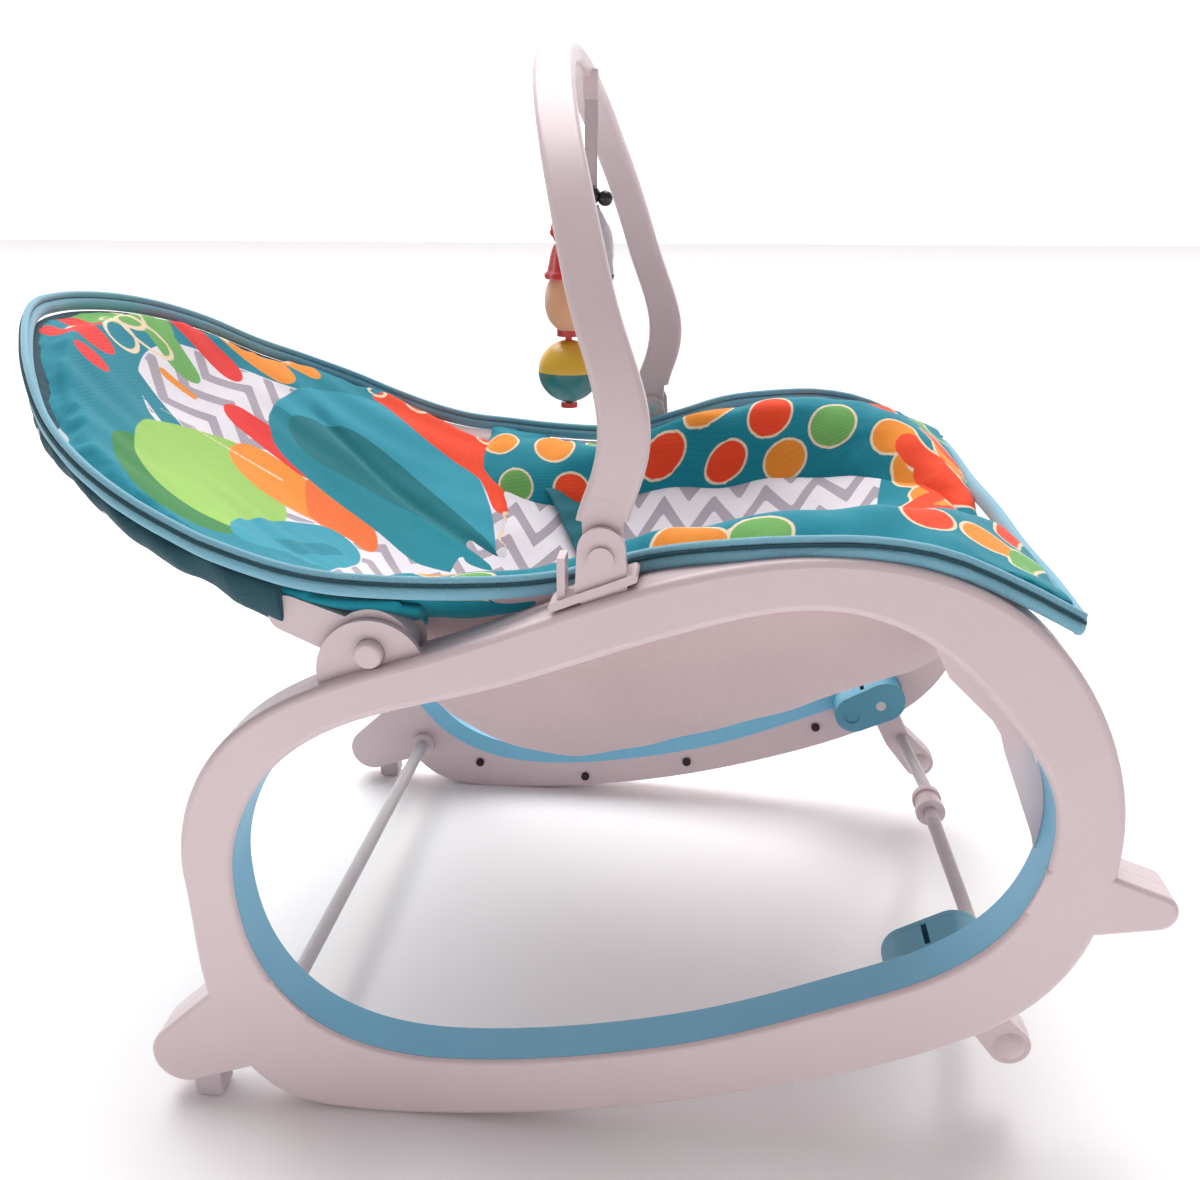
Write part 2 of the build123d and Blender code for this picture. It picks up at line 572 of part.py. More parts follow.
def main():
    os.makedirs("parts", exist_ok=True)
    for name, side in SIDES:
        save(mirror_side(rail_shell(), side), f"{name}_rail_shell")
        save(mirror_side(rail_cover(), side), f"{name}_rail_cover")
        save(mirror_side(rail_liner(), side), f"{name}_rail_liner")
        save(mirror_side(rear_stop(), side), f"{name}_rear_stop")
        save(mirror_side(back_arm(), side), f"{name}_back_arm")
        save(mirror_side(hub_cap(), side), f"{name}_hub_cap")
        save(mirror_side(recline_pin(), side), f"{name}_recline_pin")
        save(mirror_side(recline_button(), side), f"{name}_recline_button")
        save(mirror_side(stand_clamp(), side), f"{name}_stand_clamp")
        save(mirror_side(stand_clamp_cover(), side), f"{name}_stand_clamp_cover")
        save(mirror_side(stand_pin(), side), f"{name}_stand_pin")
        save(mirror_side(stand_foot(), side), f"{name}_stand_foot")
        save(mirror_side(pipe(stand_path(), 4.75), -side), f"{name}_stand_tube")
        save(mirror_side(bar_socket(), side), f"{name}_bar_socket")
        save(mirror_side(bar_pin(), side), f"{name}_bar_pin")
    save(Compound(rail_screws(-1) + rail_screws(1)), "rail_screws")
    rear = disc(REAR_TUBE_X, REAR_TUBE_Z, REAR_TUBE_R, -RAIL_IN, RAIL_IN)
    save(rear - disc(REAR_TUBE_X, REAR_TUBE_Z, REAR_TUBE_R - 1.2, -200, 200), "rear_cross_tube")
    front = disc(FRONT_TUBE_X, FRONT_TUBE_Z, FRONT_TUBE_R, -RAIL_IN, RAIL_IN)
    save(front - disc(FRONT_TUBE_X, FRONT_TUBE_Z, FRONT_TUBE_R - 1.2, -200, 200), "front_cross_tube")
    save(back_tube(), "back_tube")
    save(back_sleeve(), "back_sleeve")
    save(backrest_pad(), "backrest_pad")
    save(seat_strip(SEAT_STATIONS, SHARES[5:16], 22, 22), "seat_pad")
    for name, side in SIDES:
        shares = [side * share for share in (1, 0.92, 0.84, 0.76, 0.68, 0.6, 0.505)]
        save(seat_strip(SEAT_STATIONS, shares, 18, 5), f"{name}_bolster")
        waist = [(-14, -side * 140), (6, -side * 100), (28, -side * 60), (46, -side * 22)]
        save(strap_piece([(x, -y) for x, y in waist], 26, 1.6, 4), f"{name}_waist_strap")
    save(crotch_pad(), "crotch_pad")
    save(buckle(), "buckle")
    save(seat_strip((250.4, 265, 275, 288), SHARES, 8, 8), "foot_pad")
    save(seat_sling(), "seat_sling")
    save(stand_knuckle(), "stand_knuckle")
    save(toy_bar_arch(), "toy_bar")
    save(toy_strap(*TOYS["right"], 508), "right_toy_strap")
    save(toy_hat(*TOYS["right"]) - toy_strap(*TOYS["right"], 508), "right_toy_hat")
    save(toy_head(*TOYS["right"]), "right_toy_head")
    save(toy_spindle(*TOYS["right"]), "right_toy_spindle")
    save(toy_ball(*TOYS["right"], True), "right_toy_ball_top")
    save(toy_ball(*TOYS["right"], False), "right_toy_ball_bottom")
    save(toy_strap(*TOYS["left"], 510), "left_toy_strap")
    save(drop_beads(*TOYS["left"]) - toy_strap(*TOYS["left"], 510), "left_toy_beads")
    save(drop_body(*TOYS["left"]), "left_toy_body")


if __name__ == "__main__":
    main()
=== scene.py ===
import json
import math

import bpy
import numpy as np
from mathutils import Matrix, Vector


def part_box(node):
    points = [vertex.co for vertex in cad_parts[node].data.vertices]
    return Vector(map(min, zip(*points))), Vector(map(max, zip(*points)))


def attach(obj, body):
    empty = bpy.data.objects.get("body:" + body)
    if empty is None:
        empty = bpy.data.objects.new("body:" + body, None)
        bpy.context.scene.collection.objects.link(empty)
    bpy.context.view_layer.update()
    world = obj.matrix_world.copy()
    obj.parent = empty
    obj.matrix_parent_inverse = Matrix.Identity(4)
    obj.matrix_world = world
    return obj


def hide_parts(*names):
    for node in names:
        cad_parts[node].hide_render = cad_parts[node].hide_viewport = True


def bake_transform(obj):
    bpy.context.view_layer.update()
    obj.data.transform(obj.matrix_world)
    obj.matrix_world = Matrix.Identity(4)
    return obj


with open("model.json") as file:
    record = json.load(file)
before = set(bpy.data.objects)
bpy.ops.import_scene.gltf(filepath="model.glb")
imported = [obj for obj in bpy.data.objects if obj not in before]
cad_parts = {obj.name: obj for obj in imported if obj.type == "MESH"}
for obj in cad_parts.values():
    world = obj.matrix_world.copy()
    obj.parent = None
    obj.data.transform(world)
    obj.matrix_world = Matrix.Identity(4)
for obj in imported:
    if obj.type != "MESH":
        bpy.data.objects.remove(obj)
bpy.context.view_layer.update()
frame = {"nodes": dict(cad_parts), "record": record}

# Bouncer seat. Metres, +X to the child's feet, +Y to the left side, Z = 0 on the floor.
SIDES = (("right", -1), ("left", 1))
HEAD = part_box("backrest_pad")[0].x
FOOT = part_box("foot_pad")[1].x
RAIL_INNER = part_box("left_rail_cover")[0].y + 0.007
UP = np.array([0, 0, 1.0])
VOXEL = 0.0048          # remesh size of the large pads
EDGE_THICK = 0.0068     # thickness of a pad at its sewn edge, which has to hold a voxel


# ---------------------------------------------------------------- camera, lights and floor
def add_camera():
    """Beside the right rail and a little above it."""
    data = bpy.data.cameras.new("camera")
    data.lens, data.sensor_width = 36.0, 36.0
    camera = bpy.data.objects.new("camera", data)
    camera.location = (0.098, -0.766, 0.524)
    camera.rotation_euler = (math.radians(70.8), 0.0, math.radians(5.8))
    bpy.context.scene.collection.objects.link(camera)
    bpy.context.scene.camera = camera


def add_light(name, place, target, size, power, colour=(1.0, 1.0, 1.0)):
    data = bpy.data.lights.new(name, "AREA")
    data.shape, data.energy, data.color = "RECTANGLE", power, colour
    data.size, data.size_y = size
    light = bpy.data.objects.new(name, data)
    light.location = place
    light.visible_camera = False
    light.rotation_euler = (Vector(target) - Vector(place)).to_track_quat("-Z", "Y").to_euler()
    bpy.context.scene.collection.objects.link(light)


def add_sun(name, place, power, spread):
    data = bpy.data.lights.new(name, "SUN")
    data.energy, data.angle = power, math.radians(spread)
    light = bpy.data.objects.new(name, data)
    light.rotation_euler = Vector(place).to_track_quat("Z", "Y").to_euler()
    bpy.context.scene.collection.objects.link(light)


def add_studio():
    world = bpy.data.worlds.new("studio")
    world.use_nodes = True
    background = world.node_tree.nodes["Background"]
    background.inputs["Color"].default_value = (1.0, 0.90, 0.92, 1)
    background.inputs["Strength"].default_value = 0.30
    bpy.context.scene.world = world
    add_sun("sky", (-0.25, 0.75, 1.5), 3.9, 55)
    add_light("low_front", (0.02, -0.52, 0.05), (0.02, -0.2, 0.03), (0.8, 0.06), 0.30)
    add_light("front", (-0.2, -1.6, 0.5), (0, 0, 0.3), (1.2, 1.2), 0.2, (1.0, 0.94, 0.94))
    bpy.context.scene.view_settings.view_transform = "Standard"
    size = 14.0
    floor = mesh_object("floor", [(-size, -size, 0), (size, -size, 0), (size, size, 0), (-size, size, 0)],
                        [(0, 1, 2, 3)])
    floor.location.z = -0.0005
    floor.data.materials.append(plain_paper())
    wall = mesh_object("backdrop", [(-size, 9, -0.001), (size, 9, -0.001), (size, 9, 9), (-size, 9, 9)],
                       [(0, 1, 2, 3)])
    wall.data.materials.append(lit_paper())


# ---------------------------------------------------------------- meshes
def mesh_object(name, vertices, faces):
    mesh = bpy.data.meshes.new(name)
    mesh.from_pydata([tuple(map(float, v)) for v in vertices], [], faces)
    mesh.validate()
    mesh.update()
    mesh.shade_smooth()
    piece = bpy.data.objects.new(name, mesh)
    bpy.context.scene.collection.objects.link(piece)
    return piece


def apply_modifiers(piece):
    depsgraph = bpy.context.evaluated_depsgraph_get()
    mesh = bpy.data.meshes.new_from_object(piece.evaluated_get(depsgraph))
    piece.modifiers.clear()
    old, piece.data = piece.data, mesh
    mesh.name = piece.name
    bpy.data.meshes.remove(old)
    mesh.shade_smooth()


def modify(piece, kind, **settings):
    modifier = piece.modifiers.new(kind.lower(), kind)
    for key, value in settings.items():
        setattr(modifier, key, value)
    apply_modifiers(piece)


def coordinates(piece):
    flat = np.empty(len(piece.data.vertices) * 3)
    piece.data.vertices.foreach_get("co", flat)
    return flat.reshape(-1, 3)


def set_coordinates(piece, points):
    piece.data.vertices.foreach_set("co", np.asarray(points, float).ravel())
    piece.data.update()


def grid_faces(rows, columns, closed=False):
    """Quads of a grid; closed joins each row's last point to its first."""
    faces = []
    for i in range(rows - 1):
        for j in range(columns if closed else columns - 1):
            after = (j + 1) % columns
            here, above = i * columns, (i + 1) * columns
            faces.append((here + j, here + after, above + after, above + j))
    return faces


def loft(name, rings):
    """A closed skin over rings of equal length, with a flat face at each end."""
    rings = [np.asarray(ring, float) for ring in rings]
    rows, columns = len(rings), len(rings[0])
    faces = grid_faces(rows, columns, True)
    faces.append(tuple(range(columns))[::-1])
    faces.append(tuple((rows - 1) * columns + j for j in range(columns)))
    return mesh_object(name, np.concatenate(rings), faces)


def route(points, count, closed=False):
    """Evenly spread points on a smooth curve through the given ones."""
    points = np.asarray(points, float)
    if closed:
        points = np.vstack([points[-1], points, points[0], points[1]])
    else:
        points = np.vstack([2 * points[0] - points[1], points, 2 * points[-1] - points[-2]])
    fine = []
    for i in range(1, len(points) - 2):
        p0, p1, p2, p3 = points[i - 1:i + 3]
        for t in np.linspace(0, 1, 24, endpoint=False):
            fine.append(0.5 * (2 * p1 + (p2 - p0) * t + (2 * p0 - 5 * p1 + 4 * p2 - p3) * t**2
                               + (3 * p1 - p0 - 3 * p2 + p3) * t**3))
    fine.append(points[-2])
    fine = np.array(fine)
    along = np.concatenate([[0], np.cumsum(np.linalg.norm(np.diff(fine, axis=0), axis=1))])
    wanted = np.linspace(0, along[-1], count, endpoint=not closed)
    return np.column_stack([np.interp(wanted, along, fine[:, k]) for k in range(3)])


def frames_along(path, up=(0, 0, 1)):
    """Side and up directions at each point of a path."""
    ahead = np.gradient(path, axis=0)
    ahead /= np.linalg.norm(ahead, axis=1)[:, None]
    side = np.cross(ahead, np.tile(np.asarray(up, float), (len(path), 1)))
    side /= np.linalg.norm(side, axis=1)[:, None]
    return side, np.cross(side, ahead)


def tube(name, path, radius, sides, up=(0, 0, 1)):
    """A round rod along a path; radius may change along it."""
    side, upward = frames_along(path, up)
    radii = np.broadcast_to(radius, len(path))
    angles = np.linspace(0, 2 * math.pi, sides, endpoint=False)
    rings = []
    for p, s, u, r in zip(path, side, upward, radii):
        rings.append([p + r * (math.cos(a) * s + math.sin(a) * u) for a in angles])
    return loft(name, rings)


def smooth_table(table, x):
    """Smooth curve through a table's (x, value) pairs."""
    xs, values = np.array(table).T
    slopes = np.gradient(values, xs)
    x = np.clip(x, xs[0], xs[-1])
    i = np.clip(np.searchsorted(xs, x, side="right") - 1, 0, len(xs) - 2)
    width = xs[i + 1] - xs[i]
    t = (x - xs[i]) / width
    return ((2 * t**3 - 3 * t**2 + 1) * values[i] + (t**3 - 2 * t**2 + t) * width * slopes[i]
            + (3 * t**2 - 2 * t**3) * values[i + 1] + (t**3 - t**2) * width * slopes[i + 1])


def wave_noise(points, scale, seed):
    """Smooth noise from -1 to 1, as a sum of slanted waves."""
    random = np.random.default_rng(seed)
    total = np.zeros(len(points))
    for _ in range(9):
        direction = random.normal(size=3)
        direction /= np.linalg.norm(direction)
        pace = random.uniform(0.6, 1.7) * 2 * math.pi / scale
        total += np.sin(points @ direction * pace + random.uniform(0, 6.28))
    return total / 4.5


# ---------------------------------------------------------------- the hammock's shape
# All of these run along X: height of the edge, and how far the middle sags under it.
EDGE = [(-0.340, 0.446), (-0.330, 0.443), (-0.312, 0.434), (-0.292, 0.420), (-0.267, 0.400),
        (-0.237, 0.383), (-0.202, 0.366), (-0.162, 0.348), (-0.112, 0.333), (-0.072, 0.329),
        (-0.032, 0.327), (0.018, 0.329), (0.068, 0.343), (0.098, 0.351), (0.138, 0.356), (0.178, 0.357),
        (0.208, 0.352), (0.238, 0.340), (0.276, 0.321)]
SAG = [(-0.340, 0.002), (-0.312, 0.008), (-0.267, 0.024), (-0.202, 0.048), (-0.112, 0.077), (-0.072, 0.090),
       (-0.032, 0.104), (0.018, 0.116), (0.068, 0.122), (0.098, 0.124), (0.138, 0.112), (0.178, 0.092),
       (0.208, 0.068), (0.238, 0.040), (0.263, 0.016), (0.276, 0.004)]
# Half width: at the head against the root of the share of HEAD_ROUND, and along X behind it.
HALF = [(0.0, 0.004), (0.24, 0.046), (0.40, 0.085), (0.52, 0.120), (0.64, 0.153), (0.76, 0.180),
        (0.88, 0.198), (1.0, 0.206)]
HALF_SEAT = [(-0.162, 0.206), (-0.112, 0.207), (-0.078, 0.206), (-0.042, 0.200), (-0.002, 0.192),
             (0.018, 0.188), (0.068, 0.188), (0.098, 0.200), (0.138, 0.205), (0.276, 0.205)]
# Lowest line of the lining, between the rails.
SLING_LOW = [(-0.170, 0.294), (-0.140, 0.266), (-0.097, 0.222), (-0.072, 0.188), (-0.032, 0.163),
             (0.008, 0.153), (0.048, 0.160), (0.098, 0.176), (0.158, 0.201), (0.228, 0.242), (0.246, 0.264)]
HEAD_ROUND = 0.178      # length over which the head end narrows


def edge_height(x):
    return smooth_table(EDGE, x)


def half_width(x):
    share = np.sqrt(np.clip((np.asarray(x) - HEAD) / HEAD_ROUND, 0, 1))
    return np.where(share < 1, smooth_table(HALF, share), smooth_table(HALF_SEAT, x))


def hammock(x, y):
    """Height of the cloth that hangs between the two edges."""
    share = np.clip(np.abs(y) / np.maximum(half_width(x), 1e-6), 0, 1)
    return edge_height(x) - smooth_table(SAG, x) * (1 - share**1.5)


def smoothstep(low, high, x):
    t = np.clip((np.asarray(x, float) - low) / (high - low), 0, 1)
    return t * t * (3 - 2 * t)


# ---------------------------------------------------------------- materials
def material(name):
    made = bpy.data.materials.new(name)
    made.use_nodes = True
    return made, made.node_tree, made.node_tree.nodes["Principled BSDF"]


def node(tree, kind, settings=None, **inputs):
    """A node with its settings and inputs; an input is named, or given as i and its number."""
    made = tree.nodes.new(kind)
    for key, value in (settings or {}).items():
        setattr(made, key, value)
    for key, value in inputs.items():
        socket = made.inputs[int(key[1:])] if key[0] == "i" and key[1:].isdigit() else made.inputs[key]
        if isinstance(value, bpy.types.NodeSocket):
            tree.links.new(value, socket)
        else:
            socket.default_value = value
    return made


def object_space(tree):
    return node(tree, "ShaderNodeTexCoord").outputs["Object"]


def noise_value(tree, scale, detail=3.0, where=None):
    made = node(tree, "ShaderNodeTexNoise", Scale=scale, Detail=detail, Vector=where or object_space(tree))
    return made.outputs["Fac"]


def maths(tree, operation, a, b=0.0):
    return node(tree, "ShaderNodeMath", {"operation": operation}, i0=a, i1=b).outputs[0]


def mix(tree, share, first, second, blend="MIX"):
    made = tree.nodes.new("ShaderNodeMix")
    made.data_type, made.blend_type = "RGBA", blend
    for socket, value in ((made.inputs[0], share), (made.inputs[6], first), (made.inputs[7], second)):
        if isinstance(value, bpy.types.NodeSocket):
            tree.links.new(value, socket)
        else:
            socket.default_value = value if isinstance(value, float) else (*value, 1.0)[:4]
    return made.outputs[2]


def bump(tree, shader, height, strength, distance):
    made = node(tree, "ShaderNodeBump", Strength=strength, Distance=distance, Height=height)
    tree.links.new(made.outputs["Normal"], shader.inputs["Normal"])


def plain_paper():
    made, tree, shader = material("pale_floor")
    tint = mix(tree, noise_value(tree, 3.0), (0.96, 0.955, 0.955), (0.98, 0.975, 0.975))
    tree.links.new(tint, shader.inputs["Base Color"])
    shader.inputs["Roughness"].default_value = 0.7
    return made


def lit_paper():
    """Backdrop that glows evenly, as paper lit from behind does."""
    made, _, shader = material("lit_backdrop")
    shader.inputs["Base Color"].default_value = (0.9, 0.9, 0.9, 1)
    shader.inputs["Emission Color"].default_value = (1.0, 1.0, 1.0, 1)
    shader.inputs["Emission Strength"].default_value = 1.0
    return made


def moulded(name, colour, shade, roughness=0.38, grain=0.12, soft=0.0):
    """Moulded plastic: faint flow marks, a fine eggshell grain and handling wear in the gloss."""
    made, tree, shader = material(name)
    flow = noise_value(tree, 9.0, 4.0)
    tint = mix(tree, flow, shade, colour)
    speck = maths(tree, "GREATER_THAN", noise_value(tree, 900.0, 1.0), 0.74)
    tint = mix(tree, maths(tree, "MULTIPLY", speck, 0.12), tint, shade)
    tree.links.new(tint, shader.inputs["Base Color"])
    rub = noise_value(tree, 34.0, 5.0)
    rough = node(tree, "ShaderNodeMapRange", Value=rub)
    rough.inputs["From Min"].default_value, rough.inputs["From Max"].default_value = 0.3, 0.7
    rough.inputs["To Min"].default_value = roughness - 0.07
    rough.inputs["To Max"].default_value = roughness + 0.09
    tree.links.new(rough.outputs[0], shader.inputs["Roughness"])
    shader.inputs["Coat Weight"].default_value = 0.12
    shader.inputs["Coat Roughness"].default_value = 0.3
    shader.inputs["Subsurface Weight"].default_value = soft
    shader.inputs["Subsurface Radius"].default_value = (0.006, 0.004, 0.004)
    eggshell = node(tree, "ShaderNodeTexVoronoi", Scale=1500.0, Vector=object_space(tree)).outputs["Distance"]
    height = maths(tree, "ADD", maths(tree, "MULTIPLY", eggshell, 0.5), noise_value(tree, 60.0, 2.0))
    bump(tree, shader, height, grain, 0.0006)
    return made


def metal(name, colour, roughness, painted=False):
    """Drawn or painted steel: fine streaks, small scratches and spots of wear."""
    made, tree, shader = material(name)
    stretched = node(tree, "ShaderNodeMapping", Vector=object_space(tree), Scale=(1.0, 1.0, 30.0)).outputs[0]
    streak = noise_value(tree, 60.0, 4.0, stretched)
    dark = tuple(0.8 * c for c in colour)
    tree.links.new(mix(tree, streak, dark, colour), shader.inputs["Base Color"])
    shader.inputs["Metallic"].default_value = 0.0 if painted else 1.0
    wear = node(tree, "ShaderNodeMapRange", Value=noise_value(tree, 180.0, 5.0))
    wear.inputs["To Min"].default_value = roughness - 0.1
    wear.inputs["To Max"].default_value = roughness + 0.12
    tree.links.new(wear.outputs[0], shader.inputs["Roughness"])
    bump(tree, shader, maths(tree, "ADD", streak, noise_value(tree, 700.0, 2.0)), 0.08, 0.0004)
    return made


def rubber(name, colour):
    made, tree, shader = material(name)
    tint = mix(tree, noise_value(tree, 50.0, 4.0), tuple(0.7 * c for c in colour), colour)
    tree.links.new(tint, shader.inputs["Base Color"])
    shader.inputs["Roughness"].default_value = 0.82
    height = node(tree, "ShaderNodeTexVoronoi", Scale=700.0, Vector=object_space(tree)).outputs["Distance"]
    bump(tree, shader, height, 0.3, 0.0006)
    return made


def cloth(name, colour, layers=(), weave=1100.0, sheen=0.12, roughness=0.82, relief=0.35):
    """Woven cloth: crossed threads, slight fading, and a print whose layers are painted in order."""
    made, tree, shader = material(name)
    tint = mix(tree, noise_value(tree, 14.0, 4.0), tuple(0.86 * c for c in colour), colour)
    for attribute, inks in layers:
        distance = node(tree, "ShaderNodeAttribute", {"attribute_name": attribute}).outputs["Fac"]
        share = node(tree, "ShaderNodeMapRange", Value=distance)
        share.inputs["From Min"].default_value, share.inputs["From Max"].default_value = 0.0003, -0.0003
        ink = mix(tree, noise_value(tree, 22.0, 3.0), tuple(0.88 * c for c in inks), inks)
        tint = mix(tree, share.outputs[0], tint, ink)
    where = object_space(tree)
    threads = []
    for direction, offset in (("X", 0.0), ("Y", 1.57)):
        made_wave = node(tree, "ShaderNodeTexWave", {"wave_type": "BANDS", "bands_direction": direction,
                                                     "wave_profile": "SIN"},
                         Scale=weave / 6.283, Distortion=0.6, Vector=where)
        made_wave.inputs["Phase Offset"].default_value = offset
        threads.append(made_wave.outputs["Fac"])
    crossed = maths(tree, "MULTIPLY", threads[0], threads[1])
    tint = mix(tree, maths(tree, "MULTIPLY", crossed, 0.16), tint, (1.0, 1.0, 1.0), "SOFT_LIGHT")
    tree.links.new(tint, shader.inputs["Base Color"])
    shader.inputs["Roughness"].default_value = roughness
    shader.inputs["Sheen Weight"].default_value = sheen
    shader.inputs["Sheen Roughness"].default_value = 0.45
    shader.inputs["Specular IOR Level"].default_value = 0.3
    creases = noise_value(tree, 70.0, 3.0)
    height = maths(tree, "ADD", maths(tree, "MULTIPLY", crossed, 0.35), creases)
    bump(tree, shader, height, relief, 0.0011)
    return made


WHITE = (0.71, 0.595, 0.61)
WHITE_SHADE = (0.65, 0.53, 0.55)
BLUE = (0.20, 0.58, 0.80)
TEAL_CLOTH = (0.003, 0.245, 0.325)
SKY = (0.22, 0.49, 0.62)
INKS = {"white": (0.84, 0.80, 0.86), "grey": (0.42, 0.37, 0.43), "moss": (0.04, 0.24, 0.06),
        "lime": (0.33, 0.60, 0.12), "leaf": (0.16, 0.44, 0.11), "amber": (0.93, 0.30, 0.03),
        "orange": (0.92, 0.17, 0.03), "red": (0.86, 0.035, 0.03), "flame": (0.93, 0.065, 0.015),
        "aqua": (0.028, 0.33, 0.44), "body": (0.002, 0.245, 0.31), "deep": (0.001, 0.175, 0.21),
        "cream": (0.90, 0.72, 0.50), "ground": TEAL_CLOTH}


def make_materials():
    return {
        "white": moulded("white_plastic", WHITE, WHITE_SHADE, 0.36, soft=0.06),
        "blue": moulded("blue_plastic", BLUE, (0.17, 0.52, 0.74), 0.4),
        # Clamps: the liner's blue plastic, given a darker teal that partly paints the shade the far clamp
        # lies in.
        "clamp_shaded_blue": moulded("teal_plastic", (0.09, 0.34, 0.47), (0.07, 0.29, 0.41), 0.46, 0.2),
        "stop": rubber("rubber_stop", (0.66, 0.58, 0.61)),
        "tube": metal("white_tube", (0.62, 0.57, 0.585), 0.38, True),
        "steel": metal("steel_pin", (0.55, 0.55, 0.56), 0.34),
        "screw": metal("dark_screw", (0.05, 0.035, 0.04), 0.42),
        # Sleeve cloth: near-black teal that paints the shade on the lower head end; the cloth there is
        # lighter blue.
        "sleeve": cloth("sleeve_fabric", (0.018, 0.075, 0.10), relief=0.5),
        "teal": cloth("teal_fabric", TEAL_CLOTH),
        "sky": cloth("binding_fabric", SKY, weave=1600.0, sheen=0.4),
        "lining": cloth("lining_fabric", (0.58, 0.44, 0.45), relief=0.45),
        "webbing": cloth("webbing_fabric", (0.006, 0.155, 0.20), weave=2400.0, relief=0.7),
        "toy_red": moulded("red_plastic", (0.62, 0.025, 0.02), (0.5, 0.015, 0.015), 0.3),
        "toy_yellow": moulded("yellow_plastic", (0.86, 0.52, 0.05), (0.78, 0.43, 0.04), 0.3),
        "toy_teal": moulded("toy_teal_plastic", (0.03, 0.20, 0.20), (0.02, 0.16, 0.17), 0.3),
        "toy_black": moulded("black_plastic", (0.012, 0.012, 0.014), (0.02, 0.02, 0.02), 0.28),
        "toy_peach": cloth("peach_plush", (0.84, 0.42, 0.24), weave=2000.0, sheen=0.8),
        "ribbon": cloth("ribbon_fabric", (0.62, 0.53, 0.56), weave=2600.0, relief=0.7),
        "toy_grey": cloth("grey_plush", (0.60, 0.56, 0.62), weave=2000.0, sheen=0.8),
        "toy_cap": cloth("red_plush", (0.62, 0.03, 0.03), weave=2000.0, sheen=0.8),
    }


# ---------------------------------------------------------------- print
def dot(x, y, centre, radius, stretch=1.0, turn=0.0):
    """Signed distance to an ellipse."""
    c, s = math.cos(turn), math.sin(turn)
    dx, dy = x - centre[0], y - centre[1]
    px, py = c * dx + s * dy, -s * dx + c * dy
    a, b = radius * stretch, radius
    k0 = np.sqrt((px / a) ** 2 + (py / b) ** 2) + 1e-9
    k1 = np.sqrt((px / a**2) ** 2 + (py / b**2) ** 2) + 1e-9
    return k0 * (k0 - 1) / k1


def leaf(x, y, start, end, r0, r1, bend=0.0):
    """Signed distance to a bent drop that runs from start to end."""
    ax, ay = start
    bx, by = end[0] - ax, end[1] - ay
    length = math.hypot(bx, by)
    ux, uy = bx / length, by / length
    dx, dy = x - ax, y - ay
    along, across = dx * ux + dy * uy, -dx * uy + dy * ux
    h = np.clip(along / length, 0, 1)
    across = across - bend * 4 * h * (1 - h)
    return np.hypot(along - h * length, across) - (r0 + (r1 - r0) * h)


def blob(x, y, outline):
    """Signed distance to the smooth closed curve through an outline's points."""
    path = route([(a, b, 0.0) for a, b in outline], 7 * len(outline), closed=True)[:, :2]
    nearest, inside = np.full(len(x), np.inf), np.zeros(len(x), bool)
    for (ax, ay), (bx, by) in zip(path, np.roll(path, -1, 0)):
        dx, dy = bx - ax, by - ay
        t = np.clip(((x - ax) * dx + (y - ay) * dy) / (dx * dx + dy * dy), 0, 1)
        nearest = np.minimum(nearest, np.hypot(x - ax - t * dx, y - ay - t * dy))
        if dy != 0:
            crossing = (ay > y) != (by > y)
            inside ^= crossing & (x < ax + (y - ay) / dy * dx)
    return np.where(inside, -nearest, nearest)


def ring(distance, width=0.0013):
    return np.abs(distance) - width


def union(*distances):
    return np.minimum.reduce(distances)


def chevron(x, y, period=0.038, height=0.014, pitch=0.034, width=0.0066):
    """Signed distance to zigzag stripes that run along X."""
    tooth = np.abs((x / period) % 1.0 - 0.5) * 4 - 1
    across = (y + height * tooth) / pitch
    return (0.5 - np.abs(across % 1.0 - 0.5)) * pitch - width


def add_print(piece, name, colour, layers):
    """Print a piece's upper side with its layers, ink by ink in their order; the underside stays plain."""
    flat = np.empty(len(piece.data.vertices) * 3)
    piece.data.vertices.foreach_get("normal", flat)
    under = flat.reshape(-1, 3)[:, 2] < -0.15
    unprinted = 0.02
    for ink, distances in layers.items():
        values = np.where(under, unprinted, distances).astype(np.float32)
        attribute = piece.data.attributes.new("p_" + ink, "FLOAT", "POINT")
        attribute.data.foreach_set("value", values)
    piece.data.materials.append(cloth(name, colour, [("p_" + ink, INKS[ink]) for ink in layers]))


# ---------------------------------------------------------------- padded pieces
def puff(piece, voxel, cap, pressure=4.0, frames=20):
    """Remesh a closed piece and let cloth under pressure swell and wrinkle it, by at most cap."""
    modify(piece, "REMESH", mode="VOXEL", voxel_size=voxel)
    start = coordinates(piece)
    modifier = piece.modifiers.new("cloth", "CLOTH")
    settings = modifier.settings
    settings.quality = 4
    settings.mass = 0.25
    settings.tension_stiffness = settings.compression_stiffness = 12
    settings.shear_stiffness = 4
    settings.bending_stiffness = 0.3
    settings.use_pressure = True
    settings.uniform_pressure_force = pressure
    settings.effector_weights.gravity = 0.0
    scene = bpy.context.scene
    modifier.point_cache.frame_start, modifier.point_cache.frame_end = 1, frames
    for number in range(1, frames + 1):
        scene.frame_set(number)
    apply_modifiers(piece)
    moved = coordinates(piece) - start
    moved -= moved.mean(0)
    moved[:, :2] *= 0.2
    reach = np.linalg.norm(moved, axis=1)[:, None]
    set_coordinates(piece, start + moved * np.minimum(1.0, cap / np.maximum(reach, 1e-9)))
    scene.frame_set(1)
    modify(piece, "SUBSURF", levels=1)


def slab(name, us, vs, top, thick):
    """Closed pad between a top surface and one that lies thick(u, v) under it."""
    upper = np.array([[top(u, v) for v in vs] for u in us])
    lower = upper.copy()
    lower[:, :, 2] -= np.array([[thick(u, v) for v in vs] for u in us])
    rings = []
    for high, low in zip(upper, lower):
        rings.append(np.vstack([high, low[::-1]]))
    return loft(name, rings)


def back_x(u):
    """Stations from the head end (0) to the seat (1), closer together at the head."""
    return HEAD + 0.0015 + (-0.052 - HEAD) * (1 - math.cos(u * math.pi / 2)) ** 0.9


